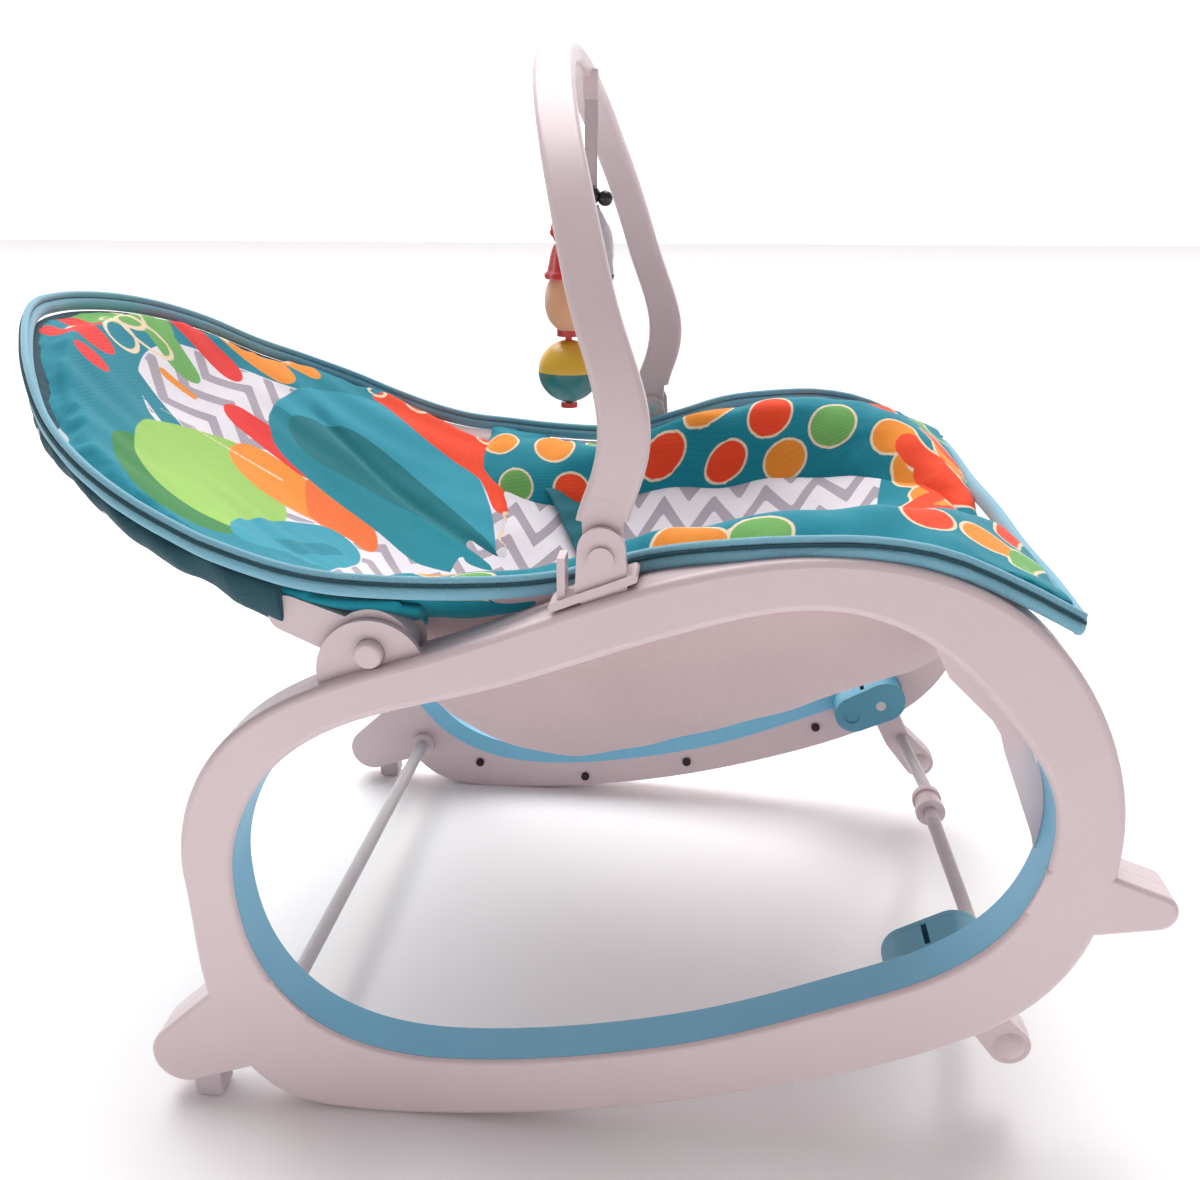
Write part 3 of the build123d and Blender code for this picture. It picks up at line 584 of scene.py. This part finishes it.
def make_back():
    """The printed pad of the seat back."""
    def top(u, v):
        x = back_x(u)
        y = v * (half_width(x) - 0.0015)
        return x, y, hammock(x, y) - 0.003 + 0.004 * smoothstep(0.0, 0.3, 1 - abs(v)) * smoothstep(0, 0.2, u)

    def thick(u, v):
        return EDGE_THICK + 0.012 * smoothstep(0.06, 0.4, 1 - abs(v)) * smoothstep(0, 0.25, u)

    pad = slab("back_cover", np.linspace(0, 1, 56), np.linspace(-1, 1, 71), top, thick)
    puff(pad, VOXEL, 0.006)
    points = coordinates(pad)
    x, y = points[:, 0], points[:, 1]
    near = smoothstep(0.02, 0.09, np.abs(y)) * smoothstep(-0.33, -0.28, x)
    points[:, 2] += 0.0022 * near * wave_noise(points * (0.35, 1.0, 1.0), 0.05, 4)
    fold = np.exp(-((leaf(x, y, (-0.205, 0.115), (-0.045, 0.052), 0, 0) / 0.006) ** 2))
    points[:, 2] -= 0.0035 * fold
    set_coordinates(pad, points)
    print_back(pad, x, y)
    return pad


def print_back(pad, x, y):
    ground = dot(x, y, (-0.140, 0.022), 0.122, 1.22, -0.05)
    notch = union(leaf(x, y, (-0.30, -0.010), (-0.235, -0.045), 0.004, 0.011),
                  leaf(x, y, (-0.29, -0.035), (-0.215, -0.085), 0.003, 0.010))
    ground = np.maximum(ground, -notch)
    ground = union(ground, dot(x, y, (-0.112, 0.004), 0.022, 1.5, 0.3))
    white = union(ground, leaf(x, y, (-0.055, -0.15), (-0.05, 0.1), 0.02, 0.02))
    low = blob(x, y, [(-0.182, -0.105), (-0.178, -0.050), (-0.164, -0.006), (-0.142, -0.013),
                      (-0.134, -0.060), (-0.140, -0.150), (-0.165, -0.160)])
    white = np.maximum(white, -low)
    grey = np.maximum(chevron(x, y), white + 0.001)
    moss = blob(x, y, [(-0.250, -0.104), (-0.238, -0.140), (-0.212, -0.172), (-0.184, -0.178),
                       (-0.164, -0.160), (-0.180, -0.120), (-0.220, -0.095)])
    lime = blob(x, y, [(-0.246, -0.098), (-0.255, -0.066), (-0.251, -0.032), (-0.230, 0.010),
                       (-0.205, 0.000), (-0.180, -0.040), (-0.165, -0.138), (-0.178, -0.152),
                       (-0.206, -0.146), (-0.230, -0.128)])
    green = union(leaf(x, y, (-0.322, 0.020), (-0.300, 0.056), 0.018, 0.012),
                  leaf(x, y, (-0.306, 0.052), (-0.277, 0.040), 0.013, 0.012))
    amber = union(blob(x, y, [(-0.230, 0.004), (-0.222, 0.024), (-0.196, 0.032), (-0.170, 0.022),
                              (-0.172, -0.010), (-0.200, -0.027), (-0.222, -0.018)]),
                  leaf(x, y, (-0.300, 0.112), (-0.243, 0.130), 0.010, 0.014),
                  leaf(x, y, (-0.276, 0.014), (-0.262, 0.020), 0.004, 0.003),
                  leaf(x, y, (-0.262, 0.146), (-0.226, 0.158), 0.006, 0.008),
                  leaf(x, y, (-0.082, 0.182), (-0.070, 0.166), 0.009, 0.004))
    orange = blob(x, y, [(-0.190, 0.036), (-0.167, 0.039), (-0.145, 0.031), (-0.136, 0.010),
                         (-0.140, -0.004), (-0.152, -0.002), (-0.172, -0.011), (-0.182, 0.004)])
    red = union(dot(x, y, (-0.318, -0.043), 0.011), dot(x, y, (-0.322, -0.005), 0.012, 1.2),
                dot(x, y, (-0.305, -0.026), 0.014), dot(x, y, (-0.291, -0.052), 0.009),
                leaf(x, y, (-0.314, 0.078), (-0.266, 0.086), 0.012, 0.013),
                leaf(x, y, (-0.236, 0.042), (-0.200, 0.048), 0.013, 0.017),
                dot(x, y, (-0.052, 0.090), 0.009, 1.3, 1.2))
    aqua = union(blob(x, y, [(-0.230, 0.083), (-0.227, 0.118), (-0.213, 0.145), (-0.182, 0.172),
                             (-0.155, 0.173), (-0.121, 0.156), (-0.095, 0.143), (-0.075, 0.107),
                             (-0.063, 0.063), (-0.061, 0.038), (-0.104, 0.020), (-0.118, 0.020),
                             (-0.145, 0.030), (-0.186, 0.034), (-0.210, 0.042), (-0.222, 0.060)]),
                 np.maximum(low, 0.0035 - union(leaf(x, y, (-0.160, -0.10), (-0.150, -0.04), 0.004, 0.002))))
    body = blob(x, y, [(-0.230, 0.080), (-0.222, 0.090), (-0.158, 0.082), (-0.117, 0.085), (-0.061, 0.060),
                       (-0.060, 0.040), (-0.104, 0.020), (-0.118, 0.020), (-0.145, 0.030), (-0.206, 0.038),
                       (-0.224, 0.058)])
    deep = blob(x, y, [(-0.219, 0.088), (-0.187, 0.121), (-0.147, 0.117), (-0.098, 0.091), (-0.061, 0.063),
                       (-0.074, 0.058), (-0.117, 0.071), (-0.158, 0.069), (-0.200, 0.060)])
    flame = blob(x, y, [(-0.183, 0.178), (-0.166, 0.199), (-0.148, 0.202), (-0.118, 0.195), (-0.087, 0.190),
                        (-0.070, 0.160), (-0.052, 0.126), (-0.053, 0.111), (-0.070, 0.104), (-0.087, 0.133),
                        (-0.113, 0.146), (-0.142, 0.158), (-0.168, 0.172)])
    loops = [ring(dot(x, y, c, r, s, t)) for c, r, s, t in (
        ((-0.310, 0.030), 0.010, 1.6, 1.2), ((-0.296, 0.030), 0.011, 1.5, 0.6),
        ((-0.300, 0.006), 0.009, 1.5, 1.8), ((-0.326, 0.048), 0.005, 1.4, 0.3),
        ((-0.181, 0.186), 0.005, 1.3, 0.5), ((-0.150, 0.192), 0.006, 1.3, 0.0),
        ((-0.094, 0.184), 0.005, 1.9, 2.2), ((-0.055, 0.106), 0.006, 1.5, 0.3),
        ((-0.056, 0.084), 0.007, 1.3, 0.9))]
    strokes = union(leaf(x, y, (-0.298, 0.100), (-0.272, 0.112), 0.0006, 0.0016),
                    leaf(x, y, (-0.290, 0.128), (-0.240, 0.150), 0.0005, 0.0014, 0.003),
                    leaf(x, y, (-0.262, -0.030), (-0.200, 0.010), 0.0005, 0.0012, 0.004),
                    leaf(x, y, (-0.316, -0.030), (-0.318, -0.010), 0.0022, 0.0016))
    add_print(pad, "back_print", TEAL_CLOTH, {
        "white": white, "grey": grey, "moss": moss, "lime": lime, "leaf": green, "amber": amber, "red": red,
        "orange": orange, "aqua": aqua, "body": body, "deep": deep, "flame": flame,
        "cream": union(*loops, strokes)})


# ---------------------------------------------------------------- seat
# Distance of the seam between seat and bolster from the middle line, and height of a bolster, along X.
SEAM = [(-0.090, 0.120), (-0.030, 0.122), (0.020, 0.124), (0.100, 0.128), (0.160, 0.120), (0.205, 0.100),
        (0.232, 0.070)]
BULGE = [(-0.095, 0.008), (-0.030, 0.018), (0.030, 0.026), (0.085, 0.034), (0.124, 0.037), (0.152, 0.036),
         (0.182, 0.0335), (0.225, 0.029), (0.245, 0.023), (0.262, 0.011), (0.276, 0.000)]
BOLSTER_REAR, BOLSTER_FRONT = -0.092, 0.2735


def bolster_surface(x, s):
    """Point of a bolster on the +Y side; s is 0 at the outer edge and 1 at the seam."""
    outer, inner = half_width(x) - 0.003, smooth_table(SEAM, x)
    if x > SEAM[-1][0]:
        inner = 0.070 * (1 - smoothstep(SEAM[-1][0], BOLSTER_FRONT, x))
    y = outer + (inner - outer) * s
    rise = np.abs(np.sin(math.pi * np.minimum(1.0, s**1.5))) ** 0.9
    return y, hammock(x, y) + smooth_table(BULGE, x) * rise - 0.002


def make_bolster(side, name):
    def top(x, s):
        y, z = bolster_surface(x, s)
        return x, side * float(y), float(z)

    def thick(x, s):
        middle = (smooth_table(BULGE, x) * 0.6 + 0.004) * math.sin(math.pi * s) * smoothstep(0.12, 0.5, s)
        return EDGE_THICK + middle + 0.006 * s**6

    xs, shares = np.linspace(BOLSTER_REAR, BOLSTER_FRONT, 66), np.linspace(0, 1, 25)
    pad = slab(f"{name}_bolster_cover", xs, shares, top, thick)
    if side > 0:
        pad.data.flip_normals()
    puff(pad, VOXEL, 0.007)
    points = coordinates(pad)
    points[:, 2] += 0.0016 * wave_noise(points, 0.045, 8 + side)
    set_coordinates(pad, points)
    print_bolster(pad, name, points[:, 0], np.abs(points[:, 1]), points[:, 2])
    return pad


# Dots of each bolster: middle (x, |y|), radius and stretch along X.
BOLSTER_DOTS = {
    "left": {
        "amber": ((-0.076, 0.172, 0.0125, 1.0), (-0.032, 0.162, 0.0150, 1.0), (0.089, 0.162, 0.0140, 1.3),
                  (0.147, 0.131, 0.0145, 1.0), (0.224, 0.114, 0.0150, 1.0), (0.030, 0.186, 0.0120, 1.2)),
        "flame": ((-0.015, 0.132, 0.0130, 1.0), (0.055, 0.138, 0.0160, 1.0), (0.135, 0.149, 0.0155, 1.0),
                  (0.103, 0.136, 0.0145, 1.0), (0.171, 0.182, 0.0130, 1.2), (0.219, 0.188, 0.0130, 1.2)),
        "leaf": ((-0.059, 0.134, 0.0125, 1.0), (0.181, 0.136, 0.0160, 1.0), (0.006, 0.168, 0.0130, 1.0)),
    },
    "right": {
        "amber": ((0.171, 0.142, 0.0150, 1.4), (0.084, 0.170, 0.0140, 1.4), (0.236, 0.162, 0.0135, 1.0),
                  (-0.050, 0.160, 0.0130, 1.0), (0.030, 0.140, 0.0130, 1.0)),
        "flame": ((0.018, 0.176, 0.0130, 1.2), (0.132, 0.130, 0.0140, 1.0), (0.205, 0.160, 0.0130, 1.0),
                  (-0.010, 0.140, 0.0120, 1.1)),
        "leaf": ((0.120, 0.178, 0.0140, 1.1), (-0.030, 0.182, 0.0130, 1.0), (0.212, 0.118, 0.0130, 1.0)),
    },
}
# Petals at the foot end: start and end (x, |y|) and the radius at each.
PETALS = {
    "amber": (((0.252, 0.012), (0.240, 0.062), 0.007, 0.009), ((0.266, 0.078), (0.258, 0.112), 0.005, 0.006),
              ((0.236, 0.078), (0.226, 0.094), 0.005, 0.004)),
    "flame": (((0.262, 0.000), (0.236, 0.026), 0.014, 0.010), ((0.267, 0.046), (0.246, 0.082), 0.012, 0.011),
              ((0.250, 0.086), (0.233, 0.104), 0.007, 0.009), ((0.270, 0.096), (0.252, 0.134), 0.007, 0.006)),
    "leaf": (((0.262, 0.150), (0.250, 0.182), 0.007, 0.006),),
}


OUTLINE = 0.0018        # width of the cream line round dots and petals
ROWS = np.linspace(BOLSTER_REAR, BOLSTER_FRONT, 180)


def petals(x, y, ink):
    """Signed distance to each petal of one ink at the foot end."""
    return [leaf(x, y, start, end, r0, r1, 0.003) for start, end, r0, r1 in PETALS[ink]]


def cloth_length(x, y, z=None):
    """Length over a bolster from its outer edge to a point; without z the point is given in plan."""
    row = np.clip(np.round((x - ROWS[0]) / (ROWS[1] - ROWS[0])), 0, len(ROWS) - 1).astype(int)
    lengths = np.zeros(len(x))
    for i in np.unique(row):
        ys, zs = bolster_surface(ROWS[i], np.linspace(0, 1, 240))
        run = np.concatenate([[0], np.cumsum(np.hypot(np.diff(ys), np.diff(zs)))])
        here = row == i
        gap = (y[here][:, None] - ys) ** 2
        if z is not None:
            gap = gap + (z[here][:, None] - zs) ** 2
        lengths[here] = run[np.argmin(gap, axis=1)]
    return lengths


def print_bolster(pad, name, x, y, z):
    length = cloth_length(x, y, z)
    layers = {}
    for ink, dots in BOLSTER_DOTS[name].items():
        shapes = petals(x, y, ink)
        for cx, cy, r, stretch in dots:
            middle = cloth_length(np.array([cx]), np.array([cy]))[0]
            shapes.append(dot(x, length, (cx, middle), r, stretch))
        layers[ink] = union(*shapes)
    add_print(pad, "bolster_print", TEAL_CLOTH, {"cream": union(*layers.values()) - OUTLINE, **layers})


def make_seat():
    """Chevron middle of the seat."""
    def top(x, v):
        y = v * (smooth_table(SEAM, x) + 0.030)
        return x, y, hammock(x, y) + 0.0015 - 0.0035 * abs(v) ** 6

    def thick(x, v):
        return 0.016 - 0.007 * abs(v) ** 4

    pad = slab("seat_cover", np.linspace(-0.100, 0.264, 72), np.linspace(-1, 1, 53), top, thick)
    puff(pad, VOXEL, 0.006)
    points = coordinates(pad)
    x, y = points[:, 0], points[:, 1]
    points[:, 2] += 0.0014 * wave_noise(points, 0.06, 21)
    set_coordinates(pad, points)
    front = 0.204 - x + 1.2 * y**2
    beside = np.abs(y)
    amber = union(*petals(x, beside, "amber"))
    red = union(*petals(x, beside, "flame"), leaf(x, beside, (0.222, 0.0), (0.246, 0.014), 0.009, 0.013),
                leaf(x, beside, (0.216, 0.034), (0.240, 0.046), 0.006, 0.011))
    add_print(pad, "seat_print", INKS["white"], {
        "grey": chevron(x, y), "ground": front, "cream": union(red, amber) - OUTLINE, "amber": amber,
        "flame": red})
    return pad


# ---------------------------------------------------------------- edges, lining and sleeve
def rim_path(count):
    """Round the whole cover edge: foot corner, one side, the head, the other side, the far foot corner."""
    shares = np.linspace(0, 1, 90)
    xs = FOOT - 0.001 + (HEAD + 0.001 - FOOT) * np.sin(shares * math.pi / 2) ** 0.8
    xs = np.unique(np.round(np.concatenate([xs, HEAD + HEAD_ROUND * np.linspace(0, 1, 30) ** 2]), 6))[::-1]
    near = [(x, -half_width(x), edge_height(x)) for x in xs]
    far = [(x, half_width(x), edge_height(x)) for x in xs[::-1]]
    whole = np.array(near + far)
    gap = np.linalg.norm(np.diff(whole, axis=0), axis=1)
    whole = whole[np.concatenate([[True], gap > 1e-4])]
    along = np.concatenate([[0], np.cumsum(np.linalg.norm(np.diff(whole, axis=0), axis=1))])
    wanted = np.linspace(0, along[-1], count)
    return np.column_stack([np.interp(wanted, along, whole[:, k]) for k in range(3)])


def outward(path):
    """Horizontal direction away from the middle of the seat, at each point of the rim."""
    side, _ = frames_along(path)
    away = side * (1, 1, 0)
    away /= np.linalg.norm(away, axis=1)[:, None]
    inward = np.einsum("ij,ij->i", away, path) < 0
    return away * np.where(inward, -1, 1)[:, None]


def make_binding():
    """Piping on the rim, the folded binding under it, and a thin dark tube between them that paints the
    shadow line under the piping.
    """
    path = rim_path(420)
    away = outward(path)
    piping = tube("rim_piping", path + away * 0.001 + UP * 0.001, 0.0021, 10)
    rings = []
    ripple = wave_noise(path, 0.03, 31) * 0.0005
    for p, a, r in zip(path, away, ripple):
        outline = [(0.0005, -0.001), (0.0032 + r, -0.002), (0.0042 + r, -0.0055), (0.0034 + r, -0.0088),
                   (0.0008, -0.0098), (-0.0022, -0.0085), (-0.003, -0.005), (-0.002, -0.002)]
        rings.append([p + a * s + UP * h for s, h in outline])
    band = loft("rim_binding", rings)
    band.data.flip_normals()
    modify(band, "SUBSURF", levels=1)
    # Painted shadow: a thin tube in the dark sleeve cloth stands for the shade line between piping and
    # binding.
    seam = tube("rim_shadow_line", path + away * 0.0036 - UP * 0.0014, 0.0010, 8)
    return piping, band, seam


def make_foot_binding():
    """Binding across the foot end."""
    low = edge_height(FOOT)
    places = np.linspace(-0.203, 0.203, 15)
    path = route([(FOOT - 0.001, y, low + 0.0008 * math.cos(40 * y)) for y in places], 90)
    rings = []
    for p in path:
        outline = [(0.000, 0.0028), (0.0026, 0.0015), (0.0034, -0.004), (0.0026, -0.0095), (-0.001, -0.0105),
                   (-0.0034, -0.009), (-0.004, -0.003), (-0.0028, 0.0016)]
        rings.append([p + np.array([s, 0, h]) for s, h in outline])
    band = loft("foot_binding", rings)
    modify(band, "SUBSURF", levels=1)
    return band


# Half of the back tube's middle line, from the hinge to the head.
TUBE_ROUTE = [(-0.124, -0.195, 0.3085), (-0.140, -0.195, 0.315), (-0.172, -0.193, 0.333),
              (-0.206, -0.188, 0.352), (-0.240, -0.165, 0.370), (-0.272, -0.136, 0.385),
              (-0.298, -0.098, 0.400), (-0.318, -0.060, 0.411), (-0.325, -0.030, 0.4145),
              (-0.326, 0.0, 0.415)]


def make_sleeve():
    """Pocket that hangs from the rim and wraps the back tube; its dark cloth paints the shade that falls
    under the rim.
    """
    half = [np.array(p) for p in TUBE_ROUTE]
    whole = half + [p * (1, -1, 1) for p in half[-2::-1]]
    low = route(whole, 300)
    rim = rim_path(1400)
    rings = []
    ripple = wave_noise(low * (1, 1, 0.4), 0.026, 5)
    for p, r in zip(low, ripple):
        distance = np.hypot(rim[:, 0] - p[0], rim[:, 1] - p[1]) + 0.4 * np.abs(rim[:, 2] - p[2])
        high = rim[np.argmin(distance)]
        away = high - p
        away[2] = 0
        if np.linalg.norm(away) < 0.004:
            away = p * (1, 1, 0) + np.array([0.06, 0, 0])
        away /= np.linalg.norm(away)
        radius = 0.0092 + 0.0012 * r
        angles = np.linspace(-0.2 * math.pi, -0.85 * math.pi, 9)
        lower = [p + radius * (math.cos(a) * away + math.sin(a) * UP) for a in angles]
        top_out = high + away * 0.0015 + np.array([0, 0, -0.008])
        top_in = high - away * 0.006 + np.array([0, 0, -0.011])
        belly = (top_out + lower[0]) / 2 + away * (0.003 + 0.002 * r)
        back = (top_in + lower[-1]) / 2 - away * 0.002
        rings.append([top_in, top_out, belly] + lower + [back])
    pocket = loft("back_sleeve_cover", rings)
    modify(pocket, "SUBSURF", levels=1)
    return pocket


def make_lining():
    """White cloth hammock under the pads, from edge to edge."""
    xs = np.linspace(-0.170, 0.246, 110)
    flat_share = 0.9        # share of the half width that hangs between the rails
    across = np.concatenate([np.linspace(-1, -flat_share, 6)[:-1], np.linspace(-flat_share, flat_share, 60),
                             np.linspace(flat_share, 1, 6)[1:]])
    inner = RAIL_INNER - 0.0045
    points = []
    for x in xs:
        low, edge, half = smooth_table(SLING_LOW, x), edge_height(x), float(half_width(x)) - 0.003
        rail_top = 0.3035 + 0.0105 * float(smoothstep(-0.040, -0.055, x))
        side = max(float(hammock(x, inner)) - 0.015, rail_top)
        for s in across:
            share = abs(s)
            if share > flat_share:
                t = (share - flat_share) / (1 - flat_share)
                y = inner + (half - inner) * t
                z = side + (edge - 0.0095 - side) * t ** 0.8
            else:
                t = share / flat_share
                y = inner * t
                z = low + (side - low) * t ** 2.6
                z = min(z, float(hammock(x, y)) - 0.015 - 0.007 * float(smoothstep(1, 0.93, t)))
            points.append((x, math.copysign(y, s), z))
    points = np.array(points)
    y = np.abs(points[:, 1])
    droop = smoothstep(0.02, 0.12, y) * smoothstep(0.187, 0.16, y)
    folds = np.sin(points[:, 0] * 74 + 3.0 * y / 0.18) * 0.35 + wave_noise(points * (1, 0.35, 0.35), 0.05, 12)
    points[:, 2] += 0.0035 * droop * folds
    sheet = mesh_object("seat_lining", points, grid_faces(len(xs), len(across)))
    modify(sheet, "SOLIDIFY", thickness=0.0016, offset=-1)
    modify(sheet, "SUBSURF", levels=1)
    return sheet


# ---------------------------------------------------------------- finish and motion
def dress(piece, paint=None, old=(), body=None):
    """Give a piece its finish and the CAD nodes it stands for; without a body it spans the recline hinge."""
    if paint:
        piece.data.materials.append(paint)
    if old:
        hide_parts(*old)
    if body:
        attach(piece, body)
    else:
        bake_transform(piece)


# ---------------------------------------------------------------- belt and toys
def make_belt(side, name):
    """Half of the waist belt: flat webbing with a slightly thicker, stitched edge on both sides."""
    width, points = 0.025, []
    for x, y in ((-0.026, 0.134), (-0.014, 0.118), (-0.004, 0.100), (0.012, 0.070), (0.026, 0.040),
                 (0.034, 0.018)):
        points.append((x, side * y, float(hammock(x, y)) + 0.012))
    path = route(points, 60)
    side, upward = frames_along(path)
    wave = 0.0006 * np.sin(np.linspace(0, 40, len(path)))
    rings = []
    for p, s, u, w in zip(path, side, upward, wave):
        outline = [(-1.0, 0.0), (-0.97, 0.0012), (-0.86, 0.0015), (-0.80, 0.0009), (0.0, 0.0012),
                   (0.80, 0.0009), (0.86, 0.0015), (0.97, 0.0012), (1.0, 0.0), (0.9, -0.0008),
                   (-0.9, -0.0008)]
        rings.append([p + s * width / 2 * a + u * (h + w) for a, h in outline])
    return loft(f"{name}_belt", rings)


def make_crotch_pad():
    """Stuffed tab of the belt that comes up between the legs."""
    def top(x, v):
        y = v * (0.016 + 0.010 * float(smoothstep(0.130, 0.052, x)))
        return x, y, float(hammock(x, 0)) + 0.021 - 0.006 * abs(v) ** 3

    def thick(x, v):
        return 0.012 - 0.007 * abs(v) ** 3

    pad = slab("crotch_cover", np.linspace(0.048, 0.137, 34), np.linspace(-1, 1, 19), top, thick)
    puff(pad, 0.0024, 0.0025)
    points = coordinates(pad)
    stripes = chevron(points[:, 0], points[:, 1], 0.019, 0.007, 0.017, 0.0033)
    add_print(pad, "belt_print", INKS["white"], {"grey": stripes})
    return pad


def lathe(name, centre, profile, sides=56, lobes=0, depth=0.0, lean=0.0):
    """Turned piece from (radius, height) pairs; lobes pleat it and lean pushes its top along X."""
    angles = np.linspace(0, 2 * math.pi, sides, endpoint=False)
    low, high = profile[0][1], profile[-1][1]
    rings = []
    for r, z in route([(r, z, 0.0) for r, z in profile], 44)[:, :2]:
        share = (z - low) / (high - low)
        reach = r * (1 + depth * np.cos(lobes * angles))
        x = centre[0] + lean * max(0.0, share) ** 1.5
        rings.append(np.column_stack([x + reach * np.cos(angles), centre[1] + reach * np.sin(angles),
                                      np.full(sides, z)]))
    return loft(name, rings)


def make_ribbon(name, toy, low, twist):
    """Folded ribbon between the toy bar's lug and a toy."""
    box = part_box(toy)
    x, y, high = (box[0].x + box[1].x) / 2, (box[0].y + box[1].y) / 2, box[1].z
    rings = []
    for z in np.linspace(high - 0.001, low, 40):
        share = (high - z) / (high - low)
        c, s = math.cos(twist * share), math.sin(twist * share)
        half, thick = 0.0044 - 0.0006 * share, 0.0011
        bow = 0.0007 * math.sin(9 * share)
        outline = [(-half, 0), (-half * 0.93, thick), (-half * 0.8, thick * 0.6), (half * 0.8, thick * 0.6),
                   (half * 0.93, thick), (half, 0), (half * 0.93, -thick), (half * 0.8, -thick * 0.6),
                   (-half * 0.8, -thick * 0.6), (-half * 0.93, -thick)]
        rings.append([(x + a * c - b * s, y + bow + a * s + b * c, z) for a, b in outline])
    return loft(name, rings)


def make_capped_toy():
    """Cap, pompom and stuffed head over the rattle ball."""
    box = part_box("right_toy_head")
    x, y = (box[0].x + box[1].x) / 2, (box[0].y + box[1].y) / 2
    low, high = box[0].z, box[1].z
    head = lathe("toy_head_cover", (x, y), [
        (0.0022, low), (0.0075, low + 0.0012), (0.0128, low + 0.007), (0.0150, low + 0.015),
        (0.0142, low + 0.023), (0.0124, low + 0.029), (0.0100, high + 0.0006)])
    points = coordinates(head)
    seam = np.exp(-(((points[:, 1] - y) / 0.0012) ** 2)) * 0.0007
    middle = np.array([x, y, (low + high) / 2])
    out = (points - middle) / np.linalg.norm(points - middle, axis=1)[:, None]
    set_coordinates(head, points + out * (0.00035 * wave_noise(points, 0.012, 3) - seam)[:, None])
    cap = lathe("toy_cap_cover", (x, y), [
        (0.0105, high - 0.0010), (0.0140, high - 0.0004), (0.0146, high + 0.0022), (0.0128, high + 0.0040),
        (0.0122, high + 0.0060), (0.0100, high + 0.013), (0.0072, high + 0.0185),
        (0.0030, high + 0.0205)], 72, 9, 0.035, -0.002)
    pompoms = []
    for number, (dx, dz, radius) in enumerate(((-0.003, 0.0265, 0.0080), (-0.005, 0.0415, 0.0052))):
        rows, tufts = [], np.linspace(0, math.pi, 26)
        for a in tufts:
            rows.append((max(0.0003, radius * math.sin(a)), high + dz - radius * math.cos(a)))
        ball = lathe(f"toy_tuft_{number}", (x + dx, y), rows, 64, 11, 0.05)
        at = coordinates(ball)
        away = at - np.array([x + dx, y, high + dz])
        away /= np.linalg.norm(away, axis=1)[:, None] + 1e-9
        set_coordinates(ball, at + away * (0.0006 * wave_noise(at, 0.0045, 17 + number))[:, None])
        pompoms.append(ball)
    return head, cap, pompoms


def make_drop_toy():
    """Soft drop-shaped toy that leans to its tip, with a stitched crest and a dark tip."""
    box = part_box("left_toy_body")
    y = (box[0].y + box[1].y) / 2
    x, low, high = box[0].x + 0.013, box[0].z, box[1].z
    spine = [(x, y, high), (x, y, high - 0.006), (x + 0.0005, y, high - 0.016), (x + 0.002, y, high - 0.026),
             (x + 0.006, y, high - 0.036), (x + 0.009, y, high - 0.043), (x + 0.0105, y, low + 0.001)]
    path = route(spine, 60)
    radii = smooth_table([(0.0, 0.0050), (0.14, 0.0085), (0.34, 0.0128), (0.55, 0.0125), (0.75, 0.0080),
                          (0.90, 0.0048), (1.0, 0.0016)], np.linspace(0, 1, 60))
    body = tube("drop_cover", path, radii, 40, up=(0, 1, 0))
    points = coordinates(body)
    crease = np.exp(-(((points[:, 1] - y) / 0.0011) ** 2)) * 0.0006
    middle = points * (0, 0, 1) + np.array([x + 0.003, y, 0])
    out = (points - middle) / (np.linalg.norm(points - middle, axis=1)[:, None] + 1e-9)
    set_coordinates(body, points + out * (0.0003 * wave_noise(points, 0.010, 6) - crease)[:, None])
    tip = tube("drop_tip", path[52:], radii[52:] + 0.0007, 24, up=(0, 1, 0))
    return body, tip


def add_toys(paint):
    for name, low in (("right", 0.506), ("left", 0.510)):
        strap = f"{name}_toy_strap"
        ribbon = make_ribbon(f"{name}_ribbon", strap, low, 0.5)
        dress(ribbon, paint["ribbon"], [strap], f"{name}_toy")
    head, cap, pompoms = make_capped_toy()
    body, tip = make_drop_toy()
    rows = [(head, "toy_peach", "right", ["right_toy_head"]), (cap, "toy_cap", "right", ["right_toy_hat"])]
    rows += [(ball, "toy_cap", "right", []) for ball in pompoms]
    rows += [(body, "toy_grey", "left", ["left_toy_body"]), (tip, "toy_black", "left", [])]
    for piece, key, side, old in rows:
        dress(piece, paint[key], old, f"{side}_toy")


# ---------------------------------------------------------------- build
def build():
    add_camera()
    add_studio()
    paint = make_materials()

    by_slot = {"white_plastic": "white", "blue_plastic": "blue", "teal_plastic": "clamp_shaded_blue",
               "rubber_stop": "stop", "steel_tube": "tube", "steel_pin": "steel", "dark_screw": "screw",
               "sleeve_fabric": "sleeve", "cover_fabric": "teal", "chevron_fabric": "lining",
               "lining_fabric": "lining", "strap_webbing": "webbing"}
    slots = {entry["node"]: entry["material_slot"] for entry in frame["record"]["subparts"]}
    for name, cad in frame["nodes"].items():
        cad.data.materials.clear()
        cad.data.materials.append(paint[by_slot.get(slots[name], slots[name])])

    dress(make_back(), old=["backrest_pad"])
    dress(make_seat(), old=["seat_pad"])
    for name, side in SIDES:
        dress(make_bolster(side, name), old=[f"{name}_bolster", "foot_pad"])
    for name, side in SIDES:
        belt = make_belt(side, name)
        dress(belt, paint["webbing"], [f"{name}_waist_strap"], "rocker_frame")
    dress(make_crotch_pad(), old=["crotch_pad"], body="rocker_frame")
    add_toys(paint)

    # The third piece is the painted shadow line under the piping, so it takes the dark sleeve cloth.
    for piece, key in zip(make_binding(), ("sky", "sky", "sleeve")):
        dress(piece, paint[key])
    dress(make_foot_binding(), paint["sky"], body="rocker_frame")
    dress(make_sleeve(), paint["sleeve"], ["back_sleeve"], "seat_back")
    lining = make_lining()
    dress(lining, paint["lining"], ["seat_sling"])


build()
